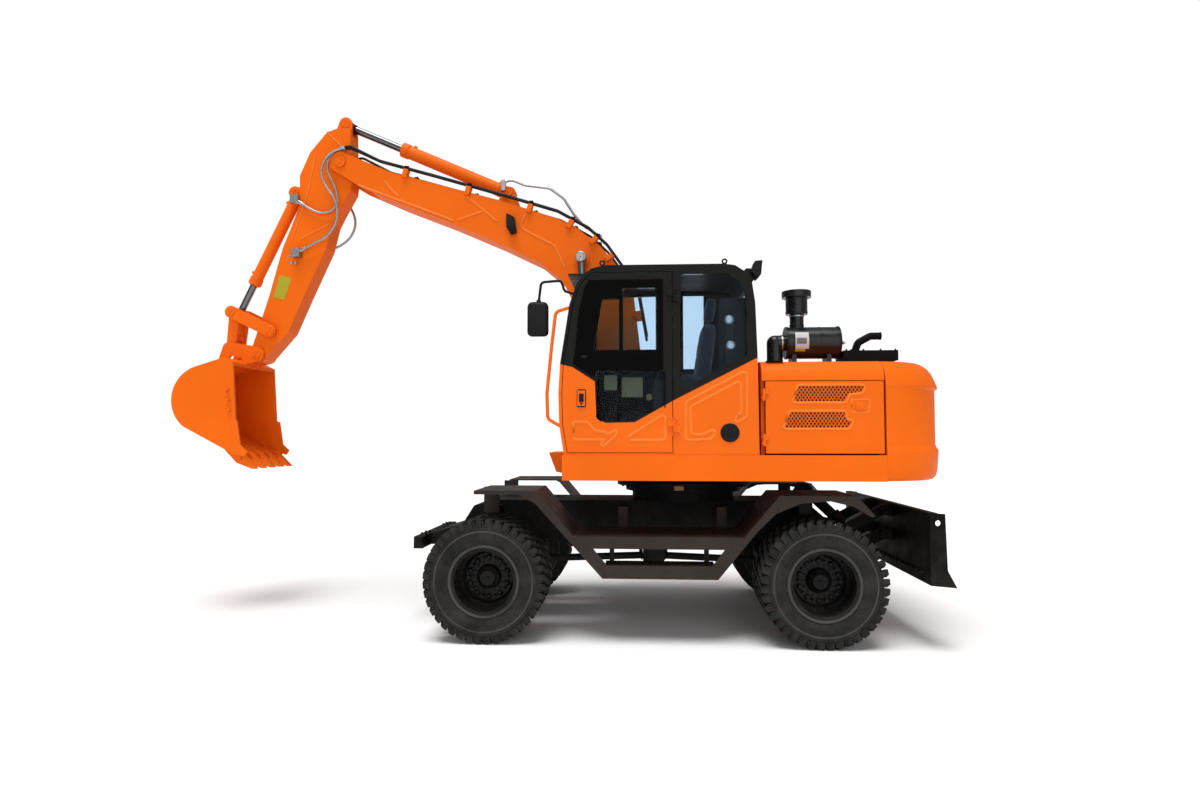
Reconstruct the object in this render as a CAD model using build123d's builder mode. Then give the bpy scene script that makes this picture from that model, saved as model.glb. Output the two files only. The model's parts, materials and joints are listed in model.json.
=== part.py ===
import os

import math

from build123d import *

# Wheeled excavator, parked with its boom raised ahead of it.
# Millimetres. The machine faces -X, its right side is +Y, up is +Z, the ground is Z = 0.
# Outlines in side view give X rearwards from the front axle and Z from the ground.

# ---- driving dimensions -------------------------------------------------------------
front_axle_x = -334          # places the origin under the middle of the machine
wheelbase = 2800
wheel_radius = 518
overall_width = 2400
body_half_width = 1180       # superstructure, deck to counterweight
deck_bottom = 1359
deck_top = 1572
running_gap = 0.1            # radial clearance of pins and shafts
seat_gap = 0.3               # between a loose or hinged piece and what it rests on
side_gap = 6                 # beside a moving link, lug or panel

# ---- wheels and axles ---------------------------------------------------------------
tyre_width = 244
twin_spacing = 290
bead_radius = 262
rim_wall = 12
rim_lip = 24
rim_lip_lean = 7             # the lip follows the tyre's side by this much
outer_tyre_y = (overall_width - tyre_width) / 2
inner_tyre_y = outer_tyre_y - twin_spacing
twin_middle_y = (outer_tyre_y + inner_tyre_y) / 2
hub_face = twin_middle_y - 287
kingpin_half_track = hub_face - 86
kingpin_radius = 28
spindle_radius = 50
spindle_end = twin_middle_y - 33
hub_radius = 150
stud_count = 10
stud_circle = 168
axle_tube_radius = 78
diff_radius = 185

# ---- chassis ------------------------------------------------------------------------
chassis_half_width = 320
chassis_top = 1123
chassis_bottom = 757
slew_x = wheelbase - 1080
slew_ring_radius = 560
pedestal_radius = 495
step_outer = overall_width / 2 - 50
step_plate = 12
step_inner = 470

# ---- blade --------------------------------------------------------------------------
blade_front = wheelbase + 827
blade_rear = blade_front + 121
blade_bottom = 532
blade_top = 1111
blade_arm_pivot = (wheelbase + 240, 560)
blade_arm_eye = (wheelbase + 760, 830)
blade_link_rise = 220        # the upper links run this far above the arms
blade_arm_y = 270
blade_arm_plate = 40
blade_cylinder_base = (wheelbase + 95, 1225)
blade_cylinder_y = 110
blade_cylinder_eye = (wheelbase + 600, 747)
blade_cross = (wheelbase + 500, 650)    # cross tube between the arms

# ---- cab ----------------------------------------------------------------------------
cab_inner_y = -310
cab_wall = 45
glass = 8
door_rear = 1575
door_hinge_x = 1590
door_hinge_y = -body_half_width - 24
door_hinges = (1810, 2895)   # Z between the two halves of each hinge

# ---- engine house -------------------------------------------------------------------
house_front = 2309
house_rear = 3296
house_shoulder = 2185
house_top = 2354
house_wall = 30
house_hinge_x = 2325
house_hinge_y = body_half_width + 14
hinge_radius = 12
hinge_half = 50             # height of one hinge knuckle

# ---- boom, arm, bucket --------------------------------------------------------------
boom_foot = (1350, 1791)
boom_lift_pin = (731, 3476)
boom_cylinder_base = (800, 1650)
boom_half_width = 150
boom_tip = (-1735, 4512)
arm_cylinder_base = (-19, 4195)
arm_half_width = 100
arm_cylinder_pin = (-1718, 4942)
bucket_cylinder_base = (-2240, 4235)
rocker_pin = (-2433, 2792)
rod_pin = (-2840, 2990)
bucket_pin = (-2580, 2562)
bucket_link_pin = (-2871, 2619)
bucket_half_width = 400
bucket_wall = 22
pin_radius = 35
ear = 28


def side(y):
    """Upright plane at width y: x rearwards from the front axle, y up, normal to the left."""
    return Plane(origin=(front_axle_x, y, 0), x_dir=(1, 0, 0), z_dir=(0, -1, 0))


def slab(points, y_low, y_high, corner=0, mode=Mode.ADD):
    """Adds a side-view outline, filled between two widths."""
    with BuildSketch(side(y_high)) as outline:
        with BuildLine():
            Polyline(*points, close=True)
        make_face()
        if corner:
            fillet(outline.vertices(), radius=corner)
    extrude(outline.sketch, amount=y_high - y_low, mode=mode)


def disc(centre, radius, y_low, y_high, mode=Mode.ADD):
    """Adds a cylinder that lies across the machine."""
    with BuildSketch(side(y_high)) as outline:
        with Locations(centre):
            Circle(radius)
    extrude(outline.sketch, amount=y_high - y_low, mode=mode)


def strap(start, end, start_radius, end_radius, y_low, y_high, mode=Mode.ADD):
    """Adds a plate with two round ends."""
    with BuildSketch(side(y_high)) as outline:
        with Locations(start):
            Circle(start_radius)
        with Locations(end):
            Circle(end_radius)
        make_hull()
    extrude(outline.sketch, amount=y_high - y_low, mode=mode)


def block(x_low, x_high, y_low, y_high, z_low, z_high, mode=Mode.ADD):
    """Adds a box given by its faces, X from the front axle."""
    centre = ((x_low + x_high) / 2 + front_axle_x, (y_low + y_high) / 2, (z_low + z_high) / 2)
    with Locations(centre):
        Box(x_high - x_low, y_high - y_low, z_high - z_low, mode=mode)


def post(x, y, radius, z_low, z_high, mode=Mode.ADD):
    """Adds an upright cylinder."""
    with Locations((x + front_axle_x, y, (z_low + z_high) / 2)):
        Cylinder(radius, z_high - z_low, mode=mode)


def along(start, end, distance):
    """Point on the line from start towards end, at a distance from start."""
    direction = Vector(*end) - Vector(*start)
    point = Vector(*start) + direction.normalized() * distance
    return point.X, point.Y


def tube(start, end, radius, y, mode=Mode.ADD):
    """Adds a round bar between two points of the side view, at width y."""
    run = Vector(*end) - Vector(*start)
    origin = (start[0] + front_axle_x, y, start[1])
    face = Plane(origin=origin, x_dir=(0, 1, 0), z_dir=(run.X, 0, run.Y))
    with BuildSketch(face) as outline:
        Circle(radius)
    extrude(outline.sketch, amount=run.length, mode=mode)


def pipe(points, radius, bend):
    """Adds a round bar along straight runs and arcs; points give X from the front axle, Y, Z."""
    route_points = [(x + front_axle_x, y, z) for x, y, z in points]
    with BuildLine(mode=Mode.PRIVATE) as route:
        FilletPolyline(*route_points, radius=bend)
    start = Plane(origin=route.line @ 0, z_dir=route.line % 0)
    with BuildSketch(start) as section:
        Circle(radius)
    sweep(section.sketch, path=route.line)


def bend_radii(points):
    """As large an arc at each corner of a hose's route as its two runs allow."""
    corners = [Vector(*point) for point in points]
    radii = []
    for before, corner, after in zip(corners, corners[1:], corners[2:]):
        arriving, leaving = corner - before, after - corner
        half_turn = math.radians(arriving.get_angle(leaving)) / 2
        radii.append(0.45 * min(arriving.length, leaving.length) / math.tan(half_turn))
    return radii


def finish(builder, name):
    """Labels a finished piece and writes its file."""
    builder.part.label = name
    export_step(builder.part, f"parts/{name}.step")


os.makedirs("parts", exist_ok=True)

# ---- wheels -------------------------------------------------------------------------
rim_half = tyre_width * 0.74 / 2
lug_share = 0.56             # of the pitch, at the tips
lug_depth = 44
lug_flank = 8                # a lug's foot is wider than its tip by this much each side
shoulder_radius = 446
shoulder_step = 16           # the sidewall stands this much proud of the lugs' ends
bead_sides = 24              # the bead and shoulder are many-sided, which keeps the tyres light
tyre_bore = bead_radius + rim_lip
wheel_axles = [("front", 0), ("rear", wheelbase)]  # name, X of the axle


def wheel_plane(axle_x):
    """Plane of a wheel's section: x is the radius, y runs to the right."""
    return Plane(origin=(axle_x + front_axle_x, 0, wheel_radius), x_dir=(1, 0, 0), z_dir=(0, 0, 1))


def wheel_axis(axle_x):
    """The axis that a wheel turns on."""
    return Axis((axle_x + front_axle_x, 0, wheel_radius), (0, 1, 0))


def ring(axle_x, section):
    """Adds a closed section, given as radius and Y, turned about the wheel's axis."""
    with BuildSketch(wheel_plane(axle_x)) as outline:
        with BuildLine():
            Polyline(*section, close=True)
        make_face()
    revolve(outline.sketch, axis=wheel_axis(axle_x))


def wheel_polygon(axle_x, radius, sides):
    """Side view of a many-sided disc about the wheel's centre whose flats lie at the radius."""
    corner_radius = radius / math.cos(math.pi / sides)
    turns = [2 * math.pi * (i + 0.5) / sides - math.pi / 2 for i in range(sides)]
    return [(axle_x + corner_radius * math.cos(a), wheel_radius + corner_radius * math.sin(a)) for a in turns]


def lug_outline(axle_x, lugs):
    """Side view of a tread with its lugs, one of them straight down on the ground."""
    half_tip = lug_share * math.pi / lugs
    half_foot = half_tip + lug_flank / wheel_radius
    tip_radius = wheel_radius / math.cos(half_tip)
    foot_radius = wheel_radius - lug_depth
    points = []
    for i in range(lugs):
        middle = 2 * math.pi * i / lugs - math.pi / 2
        for turn, radius in ((-half_foot, foot_radius), (-half_tip, tip_radius), (half_tip, tip_radius),
                             (half_foot, foot_radius)):
            angle = middle + turn
            points.append((axle_x + radius * math.cos(angle), wheel_radius + radius * math.sin(angle)))
    return points


tyre_table = [  # Y of the middle, lugs, Y of its left and right face from the middle, Y of the proud sidewall
    (inner_tyre_y, 28, -tyre_width / 2 + shoulder_step, tyre_width / 2 - shoulder_step, None),
    (outer_tyre_y, 36, -tyre_width / 2 + shoulder_step, tyre_width / 2 - shoulder_step, tyre_width / 2),
]
for axle_name, axle_x in wheel_axles:
    with BuildPart() as tyres_right:
        for tyre_y, lugs, left_face, right_face, sidewall in tyre_table:
            slab(lug_outline(axle_x, lugs), tyre_y + left_face, tyre_y + right_face)
            if sidewall:
                slab(wheel_polygon(axle_x, shoulder_radius, bead_sides), tyre_y + right_face,
                     tyre_y + sidewall)
            slab(wheel_polygon(axle_x, tyre_bore, bead_sides), tyre_y + left_face, tyre_y + tyre_width / 2,
                 mode=Mode.SUBTRACT)
    with BuildPart() as tyres_left:
        add(mirror(tyres_right.part, about=Plane.XZ, mode=Mode.PRIVATE))
    finish(tyres_right, f"tyres_{axle_name}_right")
    finish(tyres_left, f"tyres_{axle_name}_left")

    with BuildPart() as rims_right:
        for tyre_y, inwards in ((inner_tyre_y, 1), (outer_tyre_y, -1)):
            band_out = tyre_y - inwards * (rim_half + rim_wall)
            band_in = tyre_y + inwards * rim_half
            bed = bead_radius - seat_gap
            lip_edge = tyre_y - inwards * (rim_half + seat_gap)
            ring(axle_x, [
                (bed - rim_wall, band_out), (bed + rim_lip, band_out),
                (bed + rim_lip, lip_edge - inwards * rim_lip_lean), (bed, lip_edge), (bed, band_in),
                (bed - rim_wall, band_in),
            ])
            ring(axle_x, [
                (spindle_radius + running_gap, twin_middle_y),
                (bed - rim_wall / 2, twin_middle_y),
                (bed - rim_wall / 2, band_in),
                (bed - 3 * rim_wall, band_in),
                (bed - 5 * rim_wall, twin_middle_y - inwards * rim_wall * 1.4),
                (spindle_radius + running_gap, twin_middle_y - inwards * rim_wall * 1.4),
            ])
        ring(axle_x, [
            (spindle_radius + running_gap, hub_face), (hub_radius, hub_face),
            (hub_radius, twin_middle_y), (spindle_radius + running_gap, twin_middle_y),
        ])
        ring(axle_x, [
            (0, spindle_end + 2), (0, twin_middle_y + 96), (60, twin_middle_y + 96),
            (96, twin_middle_y + 70), (110, twin_middle_y + 12), (110, spindle_end + 2),
        ])
        with Locations(side(twin_middle_y + 44)):
            with Locations((axle_x, wheel_radius)):
                with PolarLocations(stud_circle, stud_count):
                    Cylinder(13, 58)
    with BuildPart() as rims_left:
        add(mirror(rims_right.part, about=Plane.XZ, mode=Mode.PRIVATE))
    finish(rims_right, f"rims_{axle_name}_right")
    finish(rims_left, f"rims_{axle_name}_left")

# ---- axles and steering -------------------------------------------------------------
knuckle_arm_x = 230          # tie rod behind the front axle
tie_rod_radius = 20
saddle_half = 110
yoke_reach = 96              # yoke arms stand this far above and below the axle
yoke_plate = 34


def axle_beam(axle_x, tube_end):
    """Adds a drive axle: tube, differential, its cover and the saddle under the chassis."""
    disc((axle_x, wheel_radius), axle_tube_radius, -tube_end, tube_end)
    disc((axle_x, wheel_radius), diff_radius, -150, 150)
    for end in (-1, 1):
        with BuildPart(mode=Mode.PRIVATE) as cone:
            with BuildSketch(side(end * 150)) as wide:
                with Locations((axle_x, wheel_radius)):
                    Circle(diff_radius)
            with BuildSketch(side(end * 260)) as narrow:
                with Locations((axle_x, wheel_radius)):
                    Circle(axle_tube_radius)
            loft(Sketch() + [wide.sketch.face(), narrow.sketch.face()])
        add(cone.part)
    block(axle_x - saddle_half, axle_x + saddle_half, -140, 140, wheel_radius + 60, chassis_bottom)


arm_top = wheel_radius - yoke_reach - yoke_plate
rod_end = kingpin_half_track + 20

with BuildPart() as front_axle:
    axle_beam(0, kingpin_half_track - 40)
    for end in (-1, 1):
        post(0, end * kingpin_half_track, 62, wheel_radius - yoke_reach + 1, wheel_radius + yoke_reach - 1)
        post(0, end * kingpin_half_track, kingpin_radius + running_gap,
             wheel_radius - yoke_reach, wheel_radius + yoke_reach, mode=Mode.SUBTRACT)
finish(front_axle, "front_axle")

with BuildPart() as rear_axle:
    axle_beam(wheelbase, hub_face - 6)
    disc((wheelbase, wheel_radius), 140, hub_face - 46, hub_face - 6)
    disc((wheelbase, wheel_radius), 140, -hub_face + 6, -hub_face + 46)
    disc((wheelbase, wheel_radius), spindle_radius, -spindle_end, spindle_end)
finish(rear_axle, "rear_axle")

with BuildPart() as knuckle_right:
    for low, high in ((-yoke_reach - yoke_plate, -yoke_reach), (yoke_reach, yoke_reach + yoke_plate)):
        post(0, kingpin_half_track, 62, wheel_radius + low, wheel_radius + high)
        block(-62, 62, kingpin_half_track, hub_face - 6, wheel_radius + low, wheel_radius + high)
    block(-62, 62, hub_face - 20, hub_face - 6, wheel_radius - yoke_reach, wheel_radius + yoke_reach)
    post(0, kingpin_half_track, kingpin_radius, wheel_radius - yoke_reach - 5, wheel_radius + yoke_reach + 5)
    disc((0, wheel_radius), spindle_radius, hub_face - 10, spindle_end)
    block(-40, knuckle_arm_x, rod_end - 30, rod_end + 30, arm_top - 30, arm_top)
    post(knuckle_arm_x, rod_end, 32, arm_top - 30, arm_top)
with BuildPart() as knuckle_left:
    add(mirror(knuckle_right.part, about=Plane.XZ, mode=Mode.PRIVATE))
finish(knuckle_right, "knuckle_right")
finish(knuckle_left, "knuckle_left")

with BuildPart() as tie_rod:
    rod_z = arm_top + seat_gap + 1.2 * tie_rod_radius
    disc((knuckle_arm_x, rod_z), tie_rod_radius, -rod_end, rod_end)
    for end in (-1, 1):
        post(knuckle_arm_x, end * rod_end, 30, arm_top + seat_gap, arm_top + seat_gap + 2.4 * tie_rod_radius)
finish(tie_rod, "tie_rod")

# ---- chassis ------------------------------------------------------------------------
gearbox_x = (slew_x - 393, slew_x - 187)
chassis_nose = -700
chassis_tail = wheelbase + 320
tail_recess = wheelbase + 125          # the tail is open between its cheeks from here
pedestal_top = 1210
ring_cover_bottom = 1262
ring_cover_top = 1300
fender_posts = ((-149, -5), (wheelbase - 60, wheelbase + 60))   # fore and aft faces
step_posts = ((1100, 1190), (wheelbase - 800, wheelbase - 710))
chassis_outline = [
    (chassis_nose, chassis_bottom), (chassis_nose, 800), (-397, 893), (-288, 1066), (-197, 1085),
    (-150, chassis_top),
    (wheelbase + 40, chassis_top), (chassis_tail, 880), (chassis_tail, blade_arm_pivot[1] - 80),
    (tail_recess + 35, blade_arm_pivot[1] - 80), (tail_recess, chassis_bottom),
]
with BuildPart() as chassis_frame:
    slab(chassis_outline, -chassis_half_width, chassis_half_width)
    post(slew_x, 0, pedestal_radius, chassis_top, pedestal_top)
    for x_low, x_high in fender_posts + step_posts:
        block(x_low, x_high, -step_inner, step_inner, 1020, 1080)
    block(tail_recess, chassis_tail + 10, -blade_arm_y + 70, blade_arm_y - 70, 300, chassis_top + 10,
          mode=Mode.SUBTRACT)
    for hand in (-1, 1):
        slot = blade_arm_plate / 2 + side_gap
        block(tail_recess + 35, chassis_tail + 10, hand * blade_arm_y - slot, hand * blade_arm_y + slot,
              300, chassis_top + 10, mode=Mode.SUBTRACT)
        for rise in (0, blade_link_rise):
            pin = (blade_arm_pivot[0], blade_arm_pivot[1] + rise)
            disc(pin, pin_radius, hand * blade_arm_y - slot, hand * blade_arm_y + slot)
        lug_y = hand * blade_cylinder_y
        for low in (lug_y - 64, lug_y + 44):
            strap(blade_cylinder_base, (blade_cylinder_base[0] - 40, chassis_top - 20), 44, 70, low, low + 20)
        disc(blade_cylinder_base, 24, lug_y - 68, lug_y + 68)
finish(chassis_frame, "chassis_frame")

with BuildPart() as slew_ring:
    post(slew_x, 0, slew_ring_radius, pedestal_top, ring_cover_bottom)
    post(slew_x, 0, slew_ring_radius + 83, ring_cover_bottom, ring_cover_top)
    post(slew_x, 0, slew_ring_radius, ring_cover_top, deck_bottom - seat_gap)
finish(slew_ring, "slew_ring")

with BuildPart() as drive_line:
    block(*gearbox_x, -150, 150, 493, chassis_bottom)
    tube((diff_radius + 60, wheel_radius), (gearbox_x[0], 560), 34, 0)
    tube((gearbox_x[1], 560), (wheelbase - diff_radius - 60, wheel_radius), 34, 0)
    tube((diff_radius, wheel_radius), (diff_radius + 90, wheel_radius), 60, 0)
    tube((wheelbase - diff_radius - 90, wheel_radius), (wheelbase - diff_radius, wheel_radius), 60, 0)
finish(drive_line, "drive_line")

front_beam_front = -781
front_beam_end = 600
front_beam_bottom = 696
front_beam_top = 804
with BuildPart() as front_beam:
    block(front_beam_front, chassis_nose, -front_beam_end, front_beam_end, front_beam_bottom, front_beam_top)
    block(chassis_nose, chassis_nose + 180, -chassis_half_width, chassis_half_width, front_beam_bottom,
          chassis_bottom)
finish(front_beam, "front_beam")

step_top = 893
step_outline = [
    (-94, 1270), (427, 1271), (751, step_top), (wheelbase - 639, step_top), (wheelbase - 349, 1238),
    (wheelbase + 278, 1238), (wheelbase + 415, 1079), (wheelbase + 390, 1065), (wheelbase + 250, 1150),
    (wheelbase + 60, 1195), (wheelbase - 180, 1175), (wheelbase - 380, 1090), (wheelbase - 530, 945),
    (wheelbase - 855, 548), (991, 548), (430, 1160), (291, 1238), (-94, 1238),
]
step_window = [(914, 793), (wheelbase - 799, 793), (wheelbase - 906, 655), (1030, 655)]
fender_top = [  # upper faces of the fenders and step
    (-94, 1270), (427, 1270), (751, step_top), (wheelbase - 639, step_top), (wheelbase - 349, 1238),
    (wheelbase + 278, 1238), (wheelbase + 415, 1079),
]
with BuildPart() as step_frame_left:
    slab(step_outline, -step_outer, -step_outer + step_plate)
    slab(step_window, -step_outer, -step_outer + step_plate, mode=Mode.SUBTRACT)
    for (x_a, z_a), (x_b, z_b) in zip(fender_top, fender_top[1:]):
        slab([(x_a, z_a), (x_b, z_b), (x_b, z_b - step_plate), (x_a, z_a - step_plate)],
             -step_outer, -step_inner)
    block(1010, wheelbase - 875, -step_outer, -step_outer + 260, 643, 655)
    for x in (1060, wheelbase - 930):
        block(x - 20, x + 20, -step_outer + 230, -step_outer + 260, 655, step_top - step_plate)
    for (x_low, x_high), z_high in zip(fender_posts, (1258, 1226)):
        block(x_low, x_high, -step_inner - 40, -step_inner, 1020, z_high)
    for x_low, x_high in step_posts:
        block(x_low, x_high, -step_inner - 12, -step_inner, step_top - step_plate, 1080)
with BuildPart() as step_frame_right:
    add(mirror(step_frame_left.part, about=Plane.XZ, mode=Mode.PRIVATE))
finish(step_frame_left, "step_frame_left")
finish(step_frame_right, "step_frame_right")

# ---- blade --------------------------------------------------------------------------
blade_half_width = overall_width / 2
blade_plate = 18
blade_cheek = 14
blade_hole = (blade_front + 63, 1030)
cheek_step = blade_arm_plate / 2 + side_gap
with BuildPart() as blade:
    block(blade_front, blade_front + blade_plate, -blade_half_width, blade_half_width, blade_bottom,
          blade_top)
    for low in (-blade_half_width, blade_half_width - blade_cheek):
        slab([(blade_front, blade_bottom), (blade_front + 203, blade_bottom - 17),
              (blade_front + 133, blade_bottom + 120), (blade_rear, blade_top - 8),
              (blade_front, blade_top)], low, low + blade_cheek)
        disc(blade_hole, 24, low, low + blade_cheek, mode=Mode.SUBTRACT)
    slab([(blade_front, blade_bottom), (blade_front + 197, blade_bottom - 15),
          (blade_front + 118, blade_bottom + 130), (blade_front + 10, blade_bottom + 130)],
         -blade_half_width, blade_half_width)
    block(blade_front, blade_front + 60, -blade_half_width, blade_half_width, blade_top - 20, blade_top)
    for hand in (-1, 1):
        for rise in (0, blade_link_rise):
            pin = (blade_arm_eye[0], blade_arm_eye[1] + rise)
            plate_x = blade_front + 4
            for low in (hand * blade_arm_y - cheek_step - 20, hand * blade_arm_y + cheek_step):
                slab([(pin[0], pin[1] - 48), (plate_x, pin[1] - 60), (plate_x, pin[1] + 55),
                      (pin[0], pin[1] + 48)], low, low + 20)
                disc(pin, 48, low, low + 20)
            disc(pin, pin_radius, hand * blade_arm_y - cheek_step - 4, hand * blade_arm_y + cheek_step + 4)
finish(blade, "blade")

with BuildPart() as blade_arms:
    for hand in (-1, 1):
        low, high = hand * blade_arm_y - blade_arm_plate / 2, hand * blade_arm_y + blade_arm_plate / 2
        strap(blade_arm_pivot, blade_arm_eye, 55, 50, low, high)
        for pin in (blade_arm_pivot, blade_arm_eye):
            disc(pin, pin_radius + running_gap, low, high, mode=Mode.SUBTRACT)
    disc(blade_cross, 34, -blade_arm_y, blade_arm_y)
    for hand in (-1, 1):
        lug_y = hand * blade_cylinder_y
        for low in (lug_y - 60, lug_y + 44):
            strap(blade_cross, blade_cylinder_eye, 30, 34, low, low + 16)
finish(blade_arms, "blade_arms")

with BuildPart() as blade_links:
    for hand in (-1, 1):
        low, high = hand * blade_arm_y - blade_arm_plate / 2, hand * blade_arm_y + blade_arm_plate / 2
        start = (blade_arm_pivot[0], blade_arm_pivot[1] + blade_link_rise)
        end = (blade_arm_eye[0], blade_arm_eye[1] + blade_link_rise)
        strap(start, end, 46, 46, low, high)
        for pin in (start, end):
            disc(pin, pin_radius + running_gap, low, high, mode=Mode.SUBTRACT)
finish(blade_links, "blade_links")

# ---- hydraulic cylinders ------------------------------------------------------------
# name: base pin, rod's eye, widths, barrel and rod radius, barrel length, start of the rod,
# radius of the base pin, half width of the eyes
cylinders = {
    "boom": (boom_cylinder_base, boom_lift_pin, (-225, 225), 62, 36, 1120, 815, pin_radius, 44),
    "arm": (arm_cylinder_base, arm_cylinder_pin, (0,), 66, 38, 1218, 600, pin_radius, 44),
    "bucket": (bucket_cylinder_base, rod_pin, (0,), 56, 34, 1040, 400, pin_radius - 7, 52),
    "blade": (blade_cylinder_base, blade_cylinder_eye, (-blade_cylinder_y, blade_cylinder_y),
              40, 22, 470, 85, 24, 38),
}
for cylinder, (base, eye, widths, barrel_radius, rod_radius, barrel, tail, pin, half) in cylinders.items():
    gland = along(base, eye, barrel)
    with BuildPart() as barrels:
        for y in widths:
            disc(base, barrel_radius, y - half, y + half)
            tube(base, gland, barrel_radius, y)
            tube(along(base, eye, barrel - 70), gland, barrel_radius + 8, y)
            tube(along(base, eye, barrel_radius + 30), gland, rod_radius + running_gap, y, mode=Mode.SUBTRACT)
            disc(base, pin + running_gap, y - half, y + half, mode=Mode.SUBTRACT)
            for low in (y - barrel_radius - 10, y + half):
                disc(base, barrel_radius + 10, low, low + barrel_radius + 10 - half, mode=Mode.SUBTRACT)
    with BuildPart() as rods:
        for y in widths:
            tube(along(base, eye, tail), eye, rod_radius, y)
            disc(eye, rod_radius * 1.5, y - half, y + half)
    finish(barrels, f"{cylinder}_barrel")
    finish(rods, f"{cylinder}_rod")

# ---- platform -----------------------------------------------------------------------
deck_front = 657
skirt_half_width = body_half_width + 12
nose_front = 430
nose_half_width = 300
cheek = boom_half_width + side_gap
with BuildPart() as platform:
    block(deck_front, house_rear + 12, -skirt_half_width, skirt_half_width, deck_bottom, deck_top)
    slab([(nose_front, deck_top), (nose_front + 70, deck_bottom + 30), (deck_front, deck_bottom),
          (deck_front, deck_top)], -nose_half_width, nose_half_width)
    for hand in (-1, 1):
        low, high = (cheek, cheek + ear) if hand > 0 else (-cheek - ear, -cheek)
        slab([(1130, deck_top), (1230, 1860), (1290, 1910), (1410, 1910), (1470, 1860), (1620, deck_top)],
             low, high)
        for low, high in ((cheek, cheek + 20), (278, 298)):
            if hand < 0:
                low, high = -high, -low
            strap(boom_cylinder_base, (boom_cylinder_base[0], deck_top), 56, 66, low, high)
    block(boom_cylinder_base[0] - 90, boom_cylinder_base[0] + 90, -nose_half_width, nose_half_width,
          deck_bottom + 20, deck_top - 20, mode=Mode.ADD)
    disc(boom_foot, pin_radius + 10, -cheek - ear - 12, cheek + ear + 12)
    for low in (-nose_half_width, cheek):
        disc(boom_cylinder_base, pin_radius, low, low + nose_half_width - cheek)
    block(deck_front - 10, house_rear + 20, -skirt_half_width - 10, skirt_half_width + 10,
          deck_bottom - 100, deck_bottom, mode=Mode.SUBTRACT)
finish(platform, "platform")

counterweight_outline = [
    (house_rear + 12, 1372), (3866, 1350), (3925, 1400), (3948, 1560), (3948, 1608), (3918, 1675),
    (3922, 2138), (3948, 2160), (3935, 2220), (3878, 2344), (3812, 2400), (house_rear + 12, 2372),
]
skirt_outline = [   # the counterweight's lower part, in line with the skirt
    (house_rear + 12, 1372), (3866, 1350), (3925, 1400), (3948, 1560), (3948, 1608), (3918, 1640),
    (house_rear + 12, deck_top),
]
rear_corner = 230            # radius of the rear corners seen from above
shoulder_corner = min(150, 0.9 * (house_top - house_shoulder))   # radius of the hood's shoulders
with BuildPart() as counterweight:
    slab(counterweight_outline, -body_half_width, body_half_width)
    slab(skirt_outline, -skirt_half_width, skirt_half_width)
    block(house_rear, house_rear + 240, -body_half_width + 320, body_half_width - 320, deck_top, 2300,
          mode=Mode.SUBTRACT)
    with BuildSketch(Plane.XY.offset(deck_bottom - 20)) as plan:
        with BuildLine():
            Polyline((house_rear + front_axle_x, -skirt_half_width), (3948 + front_axle_x, -skirt_half_width),
                     (3948 + front_axle_x, skirt_half_width), (house_rear + front_axle_x, skirt_half_width),
                     close=True)
        make_face()
        fillet(plan.vertices().group_by(Axis.X)[-1], radius=rear_corner)
    extrude(plan.sketch, amount=1200, mode=Mode.INTERSECT)
    with BuildSketch(Plane.YZ.offset(house_rear + front_axle_x)) as cross:
        with BuildLine():
            Polyline((-skirt_half_width, deck_bottom - 20), (skirt_half_width, deck_bottom - 20),
                     (skirt_half_width, 2400), (-skirt_half_width, 2400), close=True)
        make_face()
        fillet(cross.vertices().group_by(Axis.Y)[-1], radius=shoulder_corner)
    extrude(cross.sketch, amount=800, mode=Mode.INTERSECT)
finish(counterweight, "counterweight")

# ---- engine house -------------------------------------------------------------------
panel_bottom = deck_top + 14
panel_top = house_shoulder - side_gap
house_hinges = (panel_bottom + 110, panel_top - 110)     # Z between the two halves of each hinge
with BuildPart() as engine_cover:
    with BuildSketch(Plane.YZ.offset(house_front + front_axle_x)) as outer_face:
        with BuildLine():
            Polyline((-body_half_width, house_shoulder), (body_half_width, house_shoulder),
                     (body_half_width, house_top), (-body_half_width, house_top), close=True)
        make_face()
        fillet(outer_face.vertices().group_by(Axis.Y)[-1], radius=shoulder_corner)
    extrude(outer_face.sketch, amount=house_rear - house_front)
    with BuildSketch(Plane.YZ.offset(house_front + front_axle_x + house_wall)) as inner_face:
        with BuildLine():
            Polyline((-body_half_width + house_wall, house_shoulder),
                     (body_half_width - house_wall, house_shoulder),
                     (body_half_width - house_wall, house_top - house_wall),
                     (-body_half_width + house_wall, house_top - house_wall), close=True)
        make_face()
        fillet(inner_face.vertices().group_by(Axis.Y)[-1], radius=shoulder_corner - house_wall)
    extrude(inner_face.sketch, amount=house_rear - house_front - 2 * house_wall, mode=Mode.SUBTRACT)
    for x in (house_front, house_rear - house_wall):
        block(x, x + house_wall, -body_half_width + 60, body_half_width - 60, deck_top, house_shoulder + 40)
    for z in house_hinges:
        for hand in (-1, 1):
            y = hand * house_hinge_y
            low, high = sorted((y, hand * (body_half_width - 60)))
            post(house_hinge_x, y, hinge_radius, z - hinge_half, z)
            block(house_front, house_hinge_x + 6, low, high, z - hinge_half, z)
finish(engine_cover, "engine_cover")

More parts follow.
